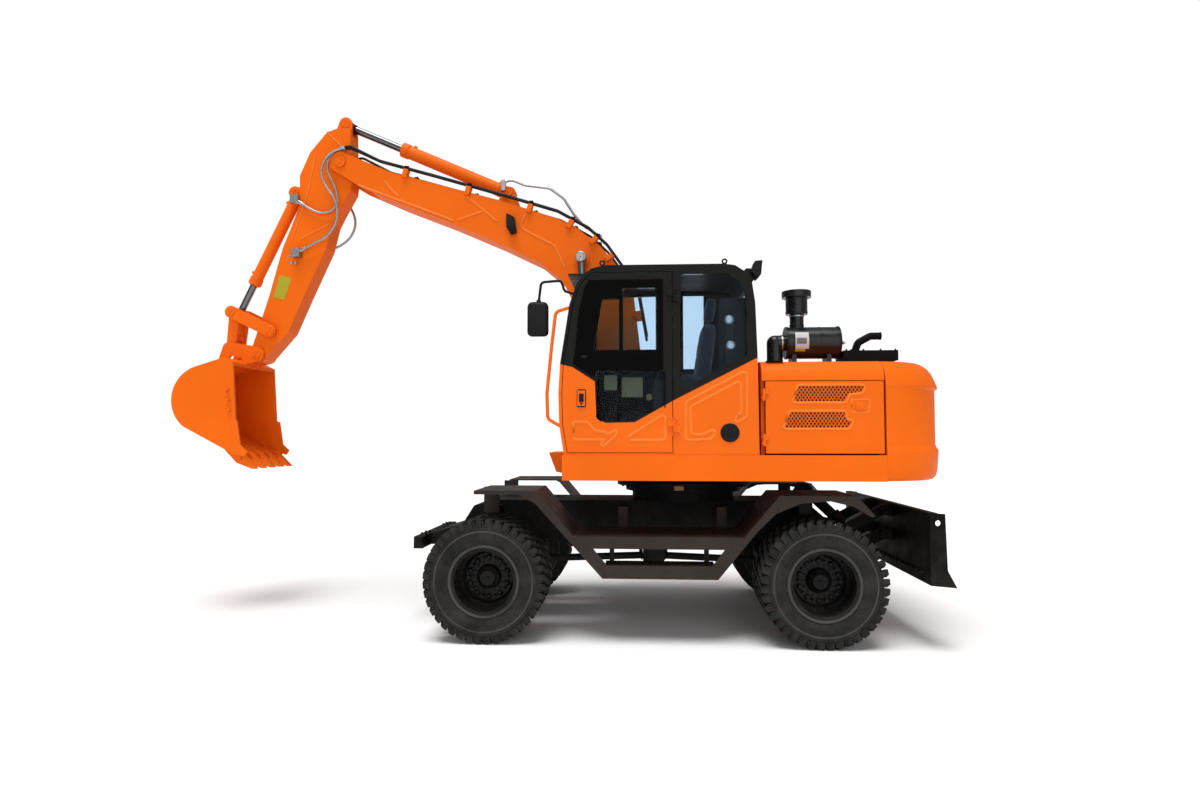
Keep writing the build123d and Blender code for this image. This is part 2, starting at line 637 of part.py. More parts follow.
grilles = [  # outline of each grille, cut back at its rear lower corner for the latch
    [(2600, 2149), (3150, 2149), (3124, 2079), (3019, 2067), (2987, 2002), (2555, 2002)],
    [(2535, 1936), (2986, 1936), (2997, 1866), (3047, 1854), (3014, 1786), (2472, 1786)],
]
grille_recess = 9
grille_pitch = 34
grille_bar = 13
grille_slant = -32           # degrees that the bars lean from upright
with BuildPart() as side_door_left:
    block(house_hinge_x + 14, house_rear - 6, -body_half_width, -body_half_width + house_wall,
          panel_bottom, panel_top)
    for outline in grilles:
        slab(outline, -body_half_width, -body_half_width + grille_recess, mode=Mode.SUBTRACT)
        with BuildSketch(side(-body_half_width + house_wall)) as slots:
            with BuildLine():
                Polyline(*outline, close=True)
            make_face()
            middle = Vector(*outline[0]) * 0.5 + Vector(*outline[4]) * 0.5
            with Locations((middle.X, middle.Y)):
                with GridLocations(grille_pitch, grille_pitch, 27, 1):
                    Rectangle(grille_bar, 300, rotation=grille_slant, mode=Mode.SUBTRACT)
        extrude(slots.sketch, amount=house_wall, mode=Mode.SUBTRACT)
    for z in house_hinges:
        post(house_hinge_x, -house_hinge_y, hinge_radius, z + seat_gap, z + hinge_half)
        block(house_hinge_x, house_hinge_x + 40, -house_hinge_y, -body_half_width, z + seat_gap,
              z + hinge_half)
with BuildPart() as side_door_right:
    add(mirror(side_door_left.part, about=Plane.XZ, mode=Mode.PRIVATE))
finish(side_door_left, "side_door_left")
finish(side_door_right, "side_door_right")

with BuildPart() as engine_block:
    block(2450, 3200, -400, 450, deck_top, 2280)
finish(engine_block, "engine_block")

# ---- right side: tank and tool box --------------------------------------------------
tank_left = 330
with BuildPart() as tank:
    block(1300, house_front - 12, tank_left, body_half_width, deck_top, 2300)
    fillet(tank.edges().filter_by(Axis.X).group_by(Axis.Z)[-1], radius=60)
    with BuildPart() as toolbox:
        block(690, 1288, tank_left, body_half_width, deck_top, 1980)
        fillet(toolbox.edges().filter_by(Axis.X).group_by(Axis.Z)[-1], radius=40)
finish(tank, "tank")

# ---- air cleaner and exhaust --------------------------------------------------------
cleaner_y = -500
cleaner_z = house_top + 227
cleaner_radius = 145
with BuildPart() as air_cleaner:
    tube((2631, cleaner_z), (3110, cleaner_z), cleaner_radius, cleaner_y)
    tube((2560, cleaner_z), (2631, cleaner_z), 72, cleaner_y)
    tube((2540, house_top), (2540, cleaner_z), 72, cleaner_y)
    with Locations((2540 + front_axle_x, cleaner_y, cleaner_z)):
        Sphere(72)
    post(2742, cleaner_y, 62, cleaner_z + 100, cleaner_z + 265)
    post(2742, cleaner_y, 97, cleaner_z + 261, cleaner_z + 415)
    post(2742, cleaner_y, 131, cleaner_z + 415, cleaner_z + 474)
    for x in (2700, 3010):
        block(x - 20, x + 20, cleaner_y - 90, cleaner_y + 90, house_top, cleaner_z - 100)
finish(air_cleaner, "air_cleaner")

exhaust_y = -500
exhaust_base = house_top + 141
with BuildPart() as exhaust:
    block(3125, 3286, exhaust_y - 140, exhaust_y + 140, house_top, house_top + 50)
    block(3125, 3600, exhaust_y - 140, exhaust_y + 140, house_top + 50, exhaust_base)
    pipe([(3260, exhaust_y, exhaust_base), (3290, exhaust_y, exhaust_base + 85),
          (3400, exhaust_y, exhaust_base + 145), (3489, exhaust_y, exhaust_base + 145)], 33, 60)
finish(exhaust, "exhaust")

# ---- cab ----------------------------------------------------------------------------
cab_floor = deck_top + cab_wall
cab_outline = [
    (672, deck_top), (632, 1818), (624, 2085), (637, 2333), (716, 2838), (770, 2999), (837, 3094),
    (904, 3140), (1012, 3166), (2009, 3164), (2101, 3150), (2193, 3088), (2238, 3007), (2263, 2833),
    (2278, 2382), (2285, deck_top),
]
door_outline = [
    (702, deck_top + 20), (664, 1820), (656, 2087), (668, 2330), (746, 2828), (798, 2980), (860, 3065),
    (915, 3098), (door_rear, 3100), (door_rear, deck_top + 20),
]
door_windows = [  # front and rear sliding pane, then the fixed pane below them
    [(918, 2442), (1139, 2442), (1139, 2880), (992, 2880)],
    [(1165, 2442), (1448, 2442), (1448, 2968), (1165, 2968)],
    [(944, 2276), (1509, 2276), (1508, 1990), (1237, 1855), (975, 1850), (940, 1880)],
]
quarter_window = [(1645, 3080), (2062, 3080), (2150, 3000), (2190, 2870), (2195, 2400), (1645, 2110)]
right_window = [(890, 3050), (1510, 3060), (1508, 1975), (800, 1975), (744, 2305), (764, 2540), (838, 2904)]
windscreen = [(655, 2366), (727, 2838), (775, 2985)]      # inner face of the pane, bottom to top
front_sash = [(640, 1800), (633, 2085), (645, 2296)]
rear_sash = [(2249, 2450), (2238, 2833), (2222, 2980)]
screen_y = (-body_half_width + 70, cab_inner_y - 70)


def pane(line, y_low, y_high, thickness, grow=0, mode=Mode.ADD):
    """Adds a bent plate whose section follows a line in side view."""
    first, last = Vector(*line[0]), Vector(*line[-1])
    run = (last - first).normalized() * grow
    points = [(first - run)] + [Vector(*p) for p in line[1:-1]] + [(last + run)]
    front = [(p.X - thickness / 2, p.Y) for p in points]
    back = [(p.X + thickness / 2, p.Y) for p in points]
    slab(front + back[::-1], y_low, y_high, mode=mode)


with BuildPart() as cab_shell:
    slab(cab_outline, -body_half_width, cab_inner_y)
    with BuildSketch(side(cab_inner_y - cab_wall)) as inside:
        with BuildLine():
            Polyline(*cab_outline, close=True)
        make_face()
        offset(amount=-cab_wall, kind=Kind.INTERSECTION, mode=Mode.REPLACE)
    extrude(inside.sketch, amount=body_half_width + cab_inner_y - 2 * cab_wall, mode=Mode.SUBTRACT)
    with BuildSketch(side(-body_half_width + cab_wall)) as doorway:
        with BuildLine():
            Polyline(*door_outline, close=True)
        make_face()
        offset(amount=side_gap, kind=Kind.INTERSECTION, mode=Mode.REPLACE)
    extrude(doorway.sketch, amount=cab_wall, mode=Mode.SUBTRACT)
    slab(quarter_window, -body_half_width, -body_half_width + cab_wall, corner=40, mode=Mode.SUBTRACT)
    for window in (quarter_window, right_window):
        slab(window, cab_inner_y - cab_wall, cab_inner_y, corner=40, mode=Mode.SUBTRACT)
    for line in (windscreen, front_sash, rear_sash):
        pane(line, *screen_y, 160, mode=Mode.SUBTRACT)
    for z in door_hinges:
        post(door_hinge_x, door_hinge_y, hinge_radius, z - hinge_half, z)
        block(door_hinge_x, door_hinge_x + 50, door_hinge_y, -body_half_width, z - hinge_half, z)
    for x in (990, 2016):
        post(x, -body_half_width + 30, 10, 3150, 3175)
        with Locations((x + front_axle_x, -body_half_width + 30, 3190)):
            Torus(18, 7, rotation=(90, 0, 0))
finish(cab_shell, "cab_shell")

with BuildPart() as cab_glass:
    for window, y in ((quarter_window, -body_half_width + 12), (quarter_window, cab_inner_y - 12 - glass),
                      (right_window, cab_inner_y - 12 - glass)):
        with BuildSketch(side(y + glass)) as outline:
            with BuildLine():
                Polyline(*window, close=True)
            make_face()
            fillet(outline.vertices(), radius=40)
            offset(amount=-seat_gap, mode=Mode.REPLACE)
        extrude(outline.sketch, amount=glass)
    for line in (windscreen, front_sash, rear_sash):
        pane(line, screen_y[0] + seat_gap, screen_y[1] - seat_gap, glass, grow=-1)
finish(cab_glass, "cab_glass")

with BuildPart() as cab_door:
    slab(door_outline, -body_half_width, -body_half_width + cab_wall)
    for window in door_windows:
        slab(window, -body_half_width, -body_half_width + cab_wall, corner=24, mode=Mode.SUBTRACT)
    for z in door_hinges:
        post(door_hinge_x, door_hinge_y, hinge_radius, z + seat_gap, z + hinge_half)
        block(door_hinge_x - 60, door_hinge_x, door_hinge_y, -body_half_width, z + seat_gap, z + hinge_half)
    block(785, 850, -body_half_width - 16, -body_half_width, 1980, 2108)
finish(cab_door, "cab_door")

with BuildPart() as door_glass:
    for window in door_windows:
        with BuildSketch(side(-body_half_width + 12 + glass)) as outline:
            with BuildLine():
                Polyline(*window, close=True)
            make_face()
            fillet(outline.vertices(), radius=24)
            offset(amount=-seat_gap, mode=Mode.REPLACE)
        extrude(outline.sketch, amount=glass)
finish(door_glass, "door_glass")

seat_y = (cab_inner_y - body_half_width) / 2 + 5
with BuildPart() as seat_base:
    block(1480, 1820, seat_y - 190, seat_y + 190, cab_floor, 1990)
    for hand in (-1, 1):
        y = seat_y + hand * 290
        block(1420, 1800, y - 45, y + 45, cab_floor, 2200)
        post(1480, y, 16, 2200, 2330)
        with Locations((1480 + front_axle_x, y, 2345)):
            Sphere(26)
with BuildPart() as seat:
    block(1440, 1790, seat_y - 230, seat_y + 230, 1990, 2110)
    slab([(1790, 1990), (1900, 2020), (1985, 2700), (1860, 2710), (1740, 2110)], seat_y - 220, seat_y + 220)
    slab([(1875, 2740), (1965, 2735), (1975, 2940), (1895, 2950)], seat_y - 120, seat_y + 120)
    slab([(1905, 2690), (1945, 2690), (1945, 2745), (1905, 2745)], seat_y - 40, seat_y + 40)
finish(seat, "seat")

with BuildPart() as steering_column:
    slab([(940, cab_floor), (1060, cab_floor), (1130, 2180), (1080, 2195)], seat_y - 50, seat_y + 50)
    tube((1090, 2170), (1128, 2246), 22, seat_y)
    wheel_centre = Vector(1128 + front_axle_x, seat_y, 2246)
    wheel_face = Plane(origin=wheel_centre, x_dir=(0, 1, 0), z_dir=(38, 0, 76))
    with Locations(wheel_face):
        Torus(165, 14)
        Box(320, 30, 12)
        Cylinder(34, 20)
with BuildPart() as cab_controls:
    add(seat_base.part)
    add(steering_column.part)
finish(cab_controls, "cab_controls")

roof_lamp_y = -body_half_width + 100
with BuildPart() as roof_lamp:
    slab([(2150, 3080), (2230, 2990), (2272, 3052), (2262, 3100), (2240, 3140), (2200, 3140)],
         roof_lamp_y - 20, roof_lamp_y + 20)
    slab([(2238, 3100), (2290, 3050), (2318, 3078), (2330, 3196), (2268, 3190)],
         roof_lamp_y - 75, roof_lamp_y + 75)
    with BuildSketch(side(cab_inner_y)) as keep_out:
        with BuildLine():
            Polyline(*cab_outline, close=True)
        make_face()
        offset(amount=seat_gap, kind=Kind.INTERSECTION, mode=Mode.REPLACE)
    extrude(keep_out.sketch, amount=body_half_width + cab_inner_y, mode=Mode.SUBTRACT)
finish(roof_lamp, "roof_lamp")

rail_y = -body_half_width + 17
rail_line = [(760, 2826), (598, 2776), (565, 2492), (526, 2087), (533, 1872), (680, 1790)]
with BuildPart() as handrail:
    pipe([(x, rail_y, z) for x, z in rail_line], 14, 50)
    slab(cab_outline, -body_half_width, cab_inner_y, mode=Mode.SUBTRACT)
finish(handrail, "handrail")

mirror_y = -body_half_width + 50
mirror_line = [(448, 2862), (468, 3037), (640, 3050), (668, 2960), (800, 2915)]
with BuildPart() as mirror_left:
    pipe([(x, mirror_y, z) for x, z in mirror_line], 11, 40)
    slab(cab_outline, -body_half_width, cab_inner_y, mode=Mode.SUBTRACT)
    block(353, 531, mirror_y - 40, mirror_y + 30, 2574, 2868)
finish(mirror_left, "mirror_left")

# ---- boom ---------------------------------------------------------------------------
boom_outline = [
    (-1700, 4612), (-1559, 4548), (-1207, 4398), (-105, 4089), (477, 3896), (666, 3803), (913, 3609),
    (1080, 3407), (1237, 3158), (1307, 2568), (1458, 1800), (1300, 1700), (1240, 1762), (879, 2571),
    (815, 2709), (538, 3266), (319, 3449), (-82, 3645), (-588, 3866), (-1099, 4069), (-1545, 4267),
    (-1790, 4420),
]
boom_line_route = [  # X and Z of the steel lines along the boom's back, from its tip to its foot
    (-1321, 4512), (-758, 4348), (-37, 4131), (489, 3965), (795, 3791), (980, 3619),
    (1117, 3425), (1290, 3170), (1372, 2700),
]
line_radius = 13
line_saddle = 100            # from a line's middle down into the boom
line_widths = (-boom_half_width - 14, -boom_half_width + 18, boom_half_width + 14)
line_saddles = ((-boom_half_width - 32, -boom_half_width + 36), (boom_half_width - 18, boom_half_width + 32))
line_tip = 60                # of a line's end that runs the way its hose leaves
fork_half = arm_half_width + side_gap
fork_depth = -1375
with BuildPart() as boom:
    slab(boom_outline, -boom_half_width, boom_half_width)
    disc(boom_tip, 108, -boom_half_width, boom_half_width)
    disc(boom_foot, 112, -boom_half_width, boom_half_width)
    slab([(-2000, 4000), (fork_depth - 60, 4000), (fork_depth, 4400), (fork_depth, 4800), (-2000, 4800)],
         -fork_half, fork_half, mode=Mode.SUBTRACT)
    disc(boom_foot, pin_radius + 10 + running_gap, -boom_half_width, boom_half_width, mode=Mode.SUBTRACT)
    disc(boom_tip, pin_radius, -boom_half_width - 10, boom_half_width + 10)
    for low in (-176, boom_half_width):
        disc(boom_lift_pin, 78, low, low + 26)
    for low in (-78, 50):
        strap(arm_cylinder_base, (arm_cylinder_base[0] - 10, 4030), 52, 120, low, low + ear)
    disc(arm_cylinder_base, pin_radius, -86, 86)
    for start, end in zip(boom_line_route, boom_line_route[1:]):
        middle = Vector(*start) * 0.5 + Vector(*end) * 0.5
        run = (Vector(*end) - Vector(*start)).normalized()
        up = Vector(-run.Y, run.X) if run.X > 0 else Vector(run.Y, -run.X)
        top, foot = up * -(line_radius + seat_gap), up * -line_saddle
        corners = [middle + run * 24 + top, middle - run * 24 + top, middle - run * 24 + foot,
                   middle + run * 24 + foot]
        for low, high in line_saddles:
            slab([(corner.X, corner.Y) for corner in corners], low, high)
finish(boom, "boom")

with BuildPart() as boom_lamp:
    block(28, 64, -boom_half_width - 24, -boom_half_width - seat_gap, 3800, 3846)
    slab([(-12, 3930), (66, 3890), (88, 3745), (30, 3725), (-10, 3790)], -232, -boom_half_width - 24)
finish(boom_lamp, "boom_lamp")

# ---- arm ----------------------------------------------------------------------------
arm_outline = [
    (-1655, 4880), (-1780, 4890), (-1901, 4850), (-2076, 4640), (-2180, 4400), (-2172, 4110), (-2258, 3870),
    (-2345, 3651), (-2476, 3158), (-2593, 2790), (-2658, 2590), (-2505, 2515), (-2268, 2787), (-2109, 3154),
    (-1888, 3644), (-1830, 3891), (-1769, 4014), (-1645, 4239), (-1618, 4500),
    (-1650, 4676),
]
with BuildPart() as arm:
    slab(arm_outline, -arm_half_width, arm_half_width)
    disc(boom_tip, 120, -arm_half_width, arm_half_width)
    disc(bucket_pin, 82, -arm_half_width, arm_half_width)
    block(-1850, -1600, -50, 50, 4830, 5100, mode=Mode.SUBTRACT)
    for low in (-78, 50):
        strap(arm_cylinder_pin, (-1740, 4800), 68, 90, low, low + ear)
    for low in (-86, 58):
        strap(bucket_cylinder_base, (-2140, 4180), 62, 90, low, low + ear)
    disc(boom_tip, pin_radius + running_gap, -arm_half_width, arm_half_width, mode=Mode.SUBTRACT)
    for pin in (rocker_pin, bucket_pin):
        disc(pin, pin_radius + running_gap, -arm_half_width, arm_half_width, mode=Mode.SUBTRACT)
    disc(bucket_cylinder_base, 72, -58, 58, mode=Mode.SUBTRACT)
    disc(bucket_cylinder_base, pin_radius - 7, -92, 92)
finish(arm, "arm")

# ---- hoses between the boom's lines and the arm ---------------------------------------
hose_radius = 12
arm_hoses = {  # X from the front axle, Y, Z, from the boom's line to the arm's port
    "arm_hose_outer": [
        (-1690, -164, 4656), (-1811, -172, 4622), (-1895, -186, 4512), (-1918, -200, 4381),
        (-1852, -212, 4238), (-1762, -216, 4126), (-1724, -210, 4006), (-1752, -196, 3850),
        (-1850, -178, 3737), (-2000, -160, 3672), (-2110, -146, 3620),
    ],
    "arm_hose_inner": [
        (-1690, -132, 4656), (-1775, -138, 4650), (-1862, -150, 4560), (-1872, -160, 4418),
        (-1792, -164, 4285), (-1752, -160, 4170), (-1766, -150, 4072), (-1836, -142, 4000),
        (-1945, -136, 3992), (-2055, -130, 4042), (-2150, -126, 4106),
    ],
    "arm_hose_right": [
        (-1690, 164, 4656), (-1800, 172, 4612), (-1880, 184, 4490), (-1896, 194, 4350),
        (-1830, 196, 4230), (-1738, 192, 4118), (-1694, 182, 3975), (-1740, 168, 3824),
        (-1858, 152, 3724), (-2000, 140, 3676), (-2110, 132, 3650),
    ],
}
with BuildPart() as boom_lines:
    for y, hose_route in zip(line_widths, arm_hoses.values()):
        tip, after = Vector(*hose_route[0]), Vector(*hose_route[1])
        corner = tip - (after - tip).normalized() * line_tip
        pipe([tuple(tip), tuple(corner)] + [(x, y, z) for x, z in boom_line_route], line_radius,
             [70] + [110] * (len(boom_line_route) - 1))
finish(boom_lines, "boom_lines")
for name, route in arm_hoses.items():
    radii = bend_radii(route)
    print(name, "radii of the bends:", [round(radius) for radius in radii])
    with BuildPart() as hose:
        pipe(route, hose_radius, radii)
    finish(hose, name)
with BuildPart() as arm_ports:
    for route in arm_hoses.values():
        before, port = Vector(*route[-2]), Vector(*route[-1])
        run = (port - before).normalized()
        hand = math.copysign(1, port.Y)
        inner, outer = hand * arm_half_width + hand * seat_gap, port.Y + hand * (hose_radius + 14)
        low, high = sorted((inner, outer))
        with BuildSketch(Plane(origin=port + Vector(front_axle_x, 0, 0), z_dir=run)) as union:
            Circle(hose_radius + 4)
        extrude(union.sketch, amount=54)
        centre = port + run * 78
        block(centre.X - 42, centre.X + 42, low, high, centre.Z - 42, centre.Z + 42)
finish(arm_ports, "arm_ports")

link_half = 98
link_plate = 38
link_pin = 25
with BuildPart() as rocker:
    for low in (-166, 142):
        strap(rocker_pin, rod_pin, 62, 62, low, low + 24)
    disc(rocker_pin, pin_radius, -166, 166)
    for low in (-166, link_half - link_plate - 2):
        disc(rod_pin, link_pin, low, low + 166 - link_half + link_plate + 2)
finish(rocker, "rocker")

with BuildPart() as bucket_link:
    for low in (-link_half, link_half - link_plate):
        strap(rod_pin, bucket_link_pin, 56, 46, low, low + link_plate)
        disc(rod_pin, link_pin + running_gap, low, low + link_plate, mode=Mode.SUBTRACT)
    middle = along(rod_pin, bucket_link_pin, 250)
    disc(middle, 45, -link_half, link_half)
finish(bucket_link, "bucket_link")

# ---- bucket -------------------------------------------------------------------------
lip = (-2566, 1500)


def bucket_profile(shrink=0):
    """The bucket's side: flat top, round back, flat floor and open mouth."""
    with BuildSketch(side(0)) as profile:
        with BuildLine():
            Polyline((-3153, 1823), (-2742, 1609), lip, (-2560, 1560), (-2622, 1845), (-2666, 2455),
                     (-2760, 2500), (-3029, 2417))
            ThreePointArc((-3029, 2417), (-3279, 2130), (-3153, 1823))
        make_face()
        if shrink:
            offset(amount=-shrink, kind=Kind.INTERSECTION, mode=Mode.REPLACE)
    return profile.sketch


hollow_half = bucket_half_width - bucket_wall
with BuildPart() as bucket:
    extrude(bucket_profile(), amount=bucket_half_width, both=True)
    extrude(bucket_profile(bucket_wall), amount=hollow_half, both=True, mode=Mode.SUBTRACT)
    slab([(-2900, 2430), (-2690, 2420), (-2300, 2420), (-2300, 1560), (-2600, 1526), (-2742, 1640)],
         -hollow_half, hollow_half, mode=Mode.SUBTRACT)
    for low in (-134, 106):
        strap(bucket_pin, bucket_link_pin, 76, 66, low, low + ear)
        strap(bucket_link_pin, (-2960, 2455), 66, 30, low, low + ear)
        strap(bucket_pin, (-2720, 2480), 76, 30, low, low + ear)
    disc(bucket_pin, pin_radius, -140, 140)
    for low in (-bucket_half_width - 16, bucket_half_width):
        slab([(-2665, 1900), (-2600, 1880), (-2560, 1640), (-2490, 1575), (-2520, 1530), (-2640, 1560)],
             low, low + 16)
    for y in range(-340, 341, 170):
        slab([(-2720, 1625), (-2590, 1570), (-2430, 1412), (-2460, 1410), (-2620, 1470), (-2735, 1590)],
             y - 34, y + 34)
finish(bucket, "bucket")
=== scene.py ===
"""Looks of the wheeled excavator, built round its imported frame.

Lengths are in millimetres from the front axle's centre line on the ground, as in the part's source,
and at() turns them into the frame's metres. The machine faces -X and its left side is at -Y.
"""

import json
import math

import bmesh
import bpy
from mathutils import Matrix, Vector

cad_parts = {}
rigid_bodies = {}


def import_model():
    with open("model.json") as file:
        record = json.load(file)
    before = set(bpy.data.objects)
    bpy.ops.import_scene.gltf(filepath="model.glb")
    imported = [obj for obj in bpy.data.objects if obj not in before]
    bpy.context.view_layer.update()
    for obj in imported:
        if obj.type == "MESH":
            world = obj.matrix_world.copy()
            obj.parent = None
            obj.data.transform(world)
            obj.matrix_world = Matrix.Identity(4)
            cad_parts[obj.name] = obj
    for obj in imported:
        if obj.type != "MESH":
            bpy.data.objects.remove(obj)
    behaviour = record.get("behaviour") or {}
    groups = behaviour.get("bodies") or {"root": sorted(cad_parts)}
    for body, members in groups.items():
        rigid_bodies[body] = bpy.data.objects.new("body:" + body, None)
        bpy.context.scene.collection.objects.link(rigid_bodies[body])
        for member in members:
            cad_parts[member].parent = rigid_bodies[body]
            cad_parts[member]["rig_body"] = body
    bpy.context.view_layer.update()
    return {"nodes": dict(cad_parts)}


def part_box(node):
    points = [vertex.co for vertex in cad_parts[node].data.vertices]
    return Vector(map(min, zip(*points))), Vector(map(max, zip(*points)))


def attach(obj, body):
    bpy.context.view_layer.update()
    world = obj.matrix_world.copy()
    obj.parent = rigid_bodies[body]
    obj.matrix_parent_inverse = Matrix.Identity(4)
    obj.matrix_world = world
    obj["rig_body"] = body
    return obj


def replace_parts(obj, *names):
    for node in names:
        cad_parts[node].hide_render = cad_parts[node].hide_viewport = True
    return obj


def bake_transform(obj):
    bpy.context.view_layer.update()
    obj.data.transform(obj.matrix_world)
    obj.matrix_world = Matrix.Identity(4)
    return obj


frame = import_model()
scene = bpy.context.scene
scene.view_settings.view_transform = "Standard"

tyre_low, tyre_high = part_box("tyres_front_left")
front_axle = (tyre_low.x + tyre_high.x) / 2
MM = 0.001


def at(x, y, z):
    return Vector((front_axle + x * MM, y * MM, z * MM))


# ---- camera, floor and light -----------------------------------------------------------
camera_data = bpy.data.cameras.new("camera")
camera_data.lens = 21.51
camera_data.sensor_width = 36
camera_data.clip_end = 200
camera = bpy.data.objects.new("camera", camera_data)
camera.location = at(1338, -7142, 1721)
camera.rotation_euler = (math.radians(92.715), 0, math.radians(3.496))
scene.collection.objects.link(camera)
scene.camera = camera


class NodeTree:
    """An empty node tree of a material or the world."""

    def __init__(self, owner):
        owner.use_nodes = True
        self.tree = owner.node_tree
        self.tree.nodes.clear()

    def link(self, value, node, socket):
        """Gives a socket a number or a colour, or links it to another node's output."""
        if isinstance(value, bpy.types.NodeSocket):
            self.tree.links.new(value, node.inputs[socket])
        else:
            node.inputs[socket].default_value = value

    def add(self, kind, sockets=None, **settings):
        node = self.tree.nodes.new("ShaderNode" + kind)
        for key, value in settings.items():
            setattr(node, key, value)
        for socket, value in (sockets or {}).items():
            self.link(value, node, socket)
        return node


class Shading(NodeTree):
    """A material with short calls for what the finishes share."""

    def __init__(self, name, **values):
        self.material = bpy.data.materials.new(name)
        super().__init__(self.material)
        sockets = {key.replace("_", " "): value for key, value in values.items()}
        self.shader = self.add("BsdfPrincipled", sockets)
        self.add("OutputMaterial", {0: self.shader.outputs[0]})
        self.place = self.add("TexCoord").outputs["Object"]

    def noise(self, scale, detail=3.0, roughness=0.5, stretch=None):
        place = self.place
        if stretch:
            place = self.add("Mapping", {"Scale": stretch, "Vector": place}).outputs[0]
        return self.add("TexNoise", {"Scale": scale, "Detail": detail, "Roughness": roughness,
                                     "Vector": place}).outputs[0]

    def spread(self, value, low, high, to_low=0.0, to_high=1.0):
        return self.add("MapRange", {"Value": value, "From Min": low, "From Max": high, "To Min": to_low,
                                     "To Max": to_high}).outputs[0]

    def cloud(self, scale, detail, low, high, to_low=0.0, to_high=1.0, roughness=0.5):
        """Noise whose values between low and high are spread over a range."""
        return self.spread(self.noise(scale, detail, roughness), low, high, to_low, to_high)

    def math(self, operation, a, b):
        return self.add("Math", {0: a, 1: b}, operation=operation).outputs[0]

    def mix(self, share, a, b):
        a, b = ((*value, 1) if isinstance(value, tuple) else value for value in (a, b))
        return self.add("Mix", {0: share, 6: a, 7: b}, data_type="RGBA").outputs[2]

    def rounded(self, radius):
        """Edges that catch the light as if rounded to that radius, in millimetres."""
        return self.add("Bevel", {"Radius": radius * MM}, samples=4).outputs[0]

    def edges(self, normal, low=0.002, high=0.08):
        """From 0 on a flat to 1 on an edge, out of the rounded normal."""
        flat = self.add("NewGeometry").outputs["True Normal"]
        dot = self.add("VectorMath", {0: normal, 1: flat}, operation="DOT_PRODUCT").outputs["Value"]
        return self.spread(self.math("SUBTRACT", 1.0, dot), low, high)

    def finish(self, colour, roughness=None, relief=None, depth=0.0, normal=None):
        """The material, once it has its colour, its roughness and a relief that many millimetres deep."""
        self.link(colour, self.shader, "Base Color")
        if roughness:
            self.link(roughness, self.shader, "Roughness")
        if relief:
            sockets = {"Strength": 1.0, "Distance": depth * MM, "Height": relief}
            if normal:
                sockets["Normal"] = normal
            self.link(self.add("Bump", sockets).outputs[0], self.shader, "Normal")
        return self.material


def shade(colour, factor):
    return tuple(min(1.0, channel * factor) for channel in colour)


def painted(name, colour, rough, coat=0.0, specular=0.5, edge=4.0, edge_colour=None, peel=0.25, dust=0.0):
    """Sprayed steel: soft colour variation, orange peel, rounded edges tinted in patches (rubbed paint on the
    dark finishes, a painted highlight on the orange), dust low down.
    """
    s = Shading(name, Coat_Weight=coat, Coat_Roughness=0.12, Specular_IOR_Level=specular)
    normal = s.rounded(edge)
    broad = s.cloud(1.3, 3, 0.3, 0.7)
    tone = s.mix(broad, shade(colour, 0.93), shade(colour, 1.04))
    speckle = s.cloud(220, 2, 0.35, 0.75, 0.0, 0.10)
    tone = s.mix(speckle, tone, shade(colour, 0.8))
    if edge_colour:
        # edge mask: rubbed paint on the dark finishes, a painted highlight where the edge colour is a lighter
        # orange
        edge_wear_and_highlight = s.math("MULTIPLY", s.edges(normal), s.cloud(38, 4, 0.52, 0.66, roughness=0.65))
        tone = s.mix(s.math("MULTIPLY", edge_wear_and_highlight, 0.6), tone, edge_colour)
    if dust:
        height = s.add("SeparateXYZ", {"Vector": s.place}).outputs["Z"]
        low = s.spread(height, 1.25, 0.35, 0.0, dust)
        patches = s.cloud(5, 5, 0.38, 0.72, roughness=0.6)
        tone = s.mix(s.math("MULTIPLY", low, patches), tone, (0.11, 0.098, 0.085))
    gloss = s.cloud(9, 4, 0.3, 0.7, rough - 0.05, rough + 0.08)
    return s.finish(tone, gloss, s.noise(420, 2), peel * 0.1, normal)


ORANGE = (0.87, 0.142, 0.006)
BLACK = (0.0085, 0.0081, 0.007)
# the light orange edge colour is a painted highlight along the edges, in patches
orange = painted("orange_paint", ORANGE, 0.42, coat=0.03, specular=0.06, edge=6,
                 edge_colour=(0.98, 0.30, 0.07))
# a lighter orange for the raised beads and rims: a painted highlight
orange_bead_highlight = painted("orange_bead_highlight", (0.90, 0.205, 0.024), 0.36, coat=0.05, specular=0.12, edge=3)
gloss_black = painted("gloss_black", (0.0016, 0.0016, 0.0015), 0.3, specular=0.03, edge=1, peel=0.05)
cab_black = painted("cab_black", (0.0080, 0.0077, 0.0068), 0.34, coat=0.03, specular=0.05, edge=5,
                    edge_colour=(0.03, 0.03, 0.03))
chassis_black = painted("chassis_black", (0.005, 0.005, 0.0048), 0.5, specular=0.06, edge=3,
                        edge_colour=(0.05, 0.045, 0.04), dust=0.3)
step_brown = painted("step_brown", (0.030, 0.022, 0.018), 0.46, specular=0.14, edge=3,
                     edge_colour=(0.085, 0.07, 0.062), dust=0.2)
rim_black = painted("rim_black", (0.004, 0.004, 0.004), 0.26, coat=0.05, specular=0.12, edge=2,
                    edge_colour=(0.04, 0.04, 0.04), dust=0.15)
rim_edge = painted("rim_edge", (0.030, 0.029, 0.028), 0.24, coat=0.1, specular=0.4, edge=1)
cast_black = painted("cast_black", (0.008, 0.008, 0.008), 0.6, specular=0.1, edge=3,
                     edge_colour=(0.04, 0.035, 0.03), peel=3.0, dust=0.35)


def moulded(name, colour, rough=0.5, specular=0.3):
    """Moulded plastic with a fine spark-eroded grain."""
    s = Shading(name, Specular_IOR_Level=specular)
    tone = s.mix(s.cloud(3, 3, 0.3, 0.7), shade(colour, 0.85), shade(colour, 1.15))
    gloss = s.cloud(14, 3, 0.3, 0.7, rough - 0.06, rough + 0.08)
    return s.finish(tone, gloss, s.noise(900, 2), 0.06, s.rounded(2.5))


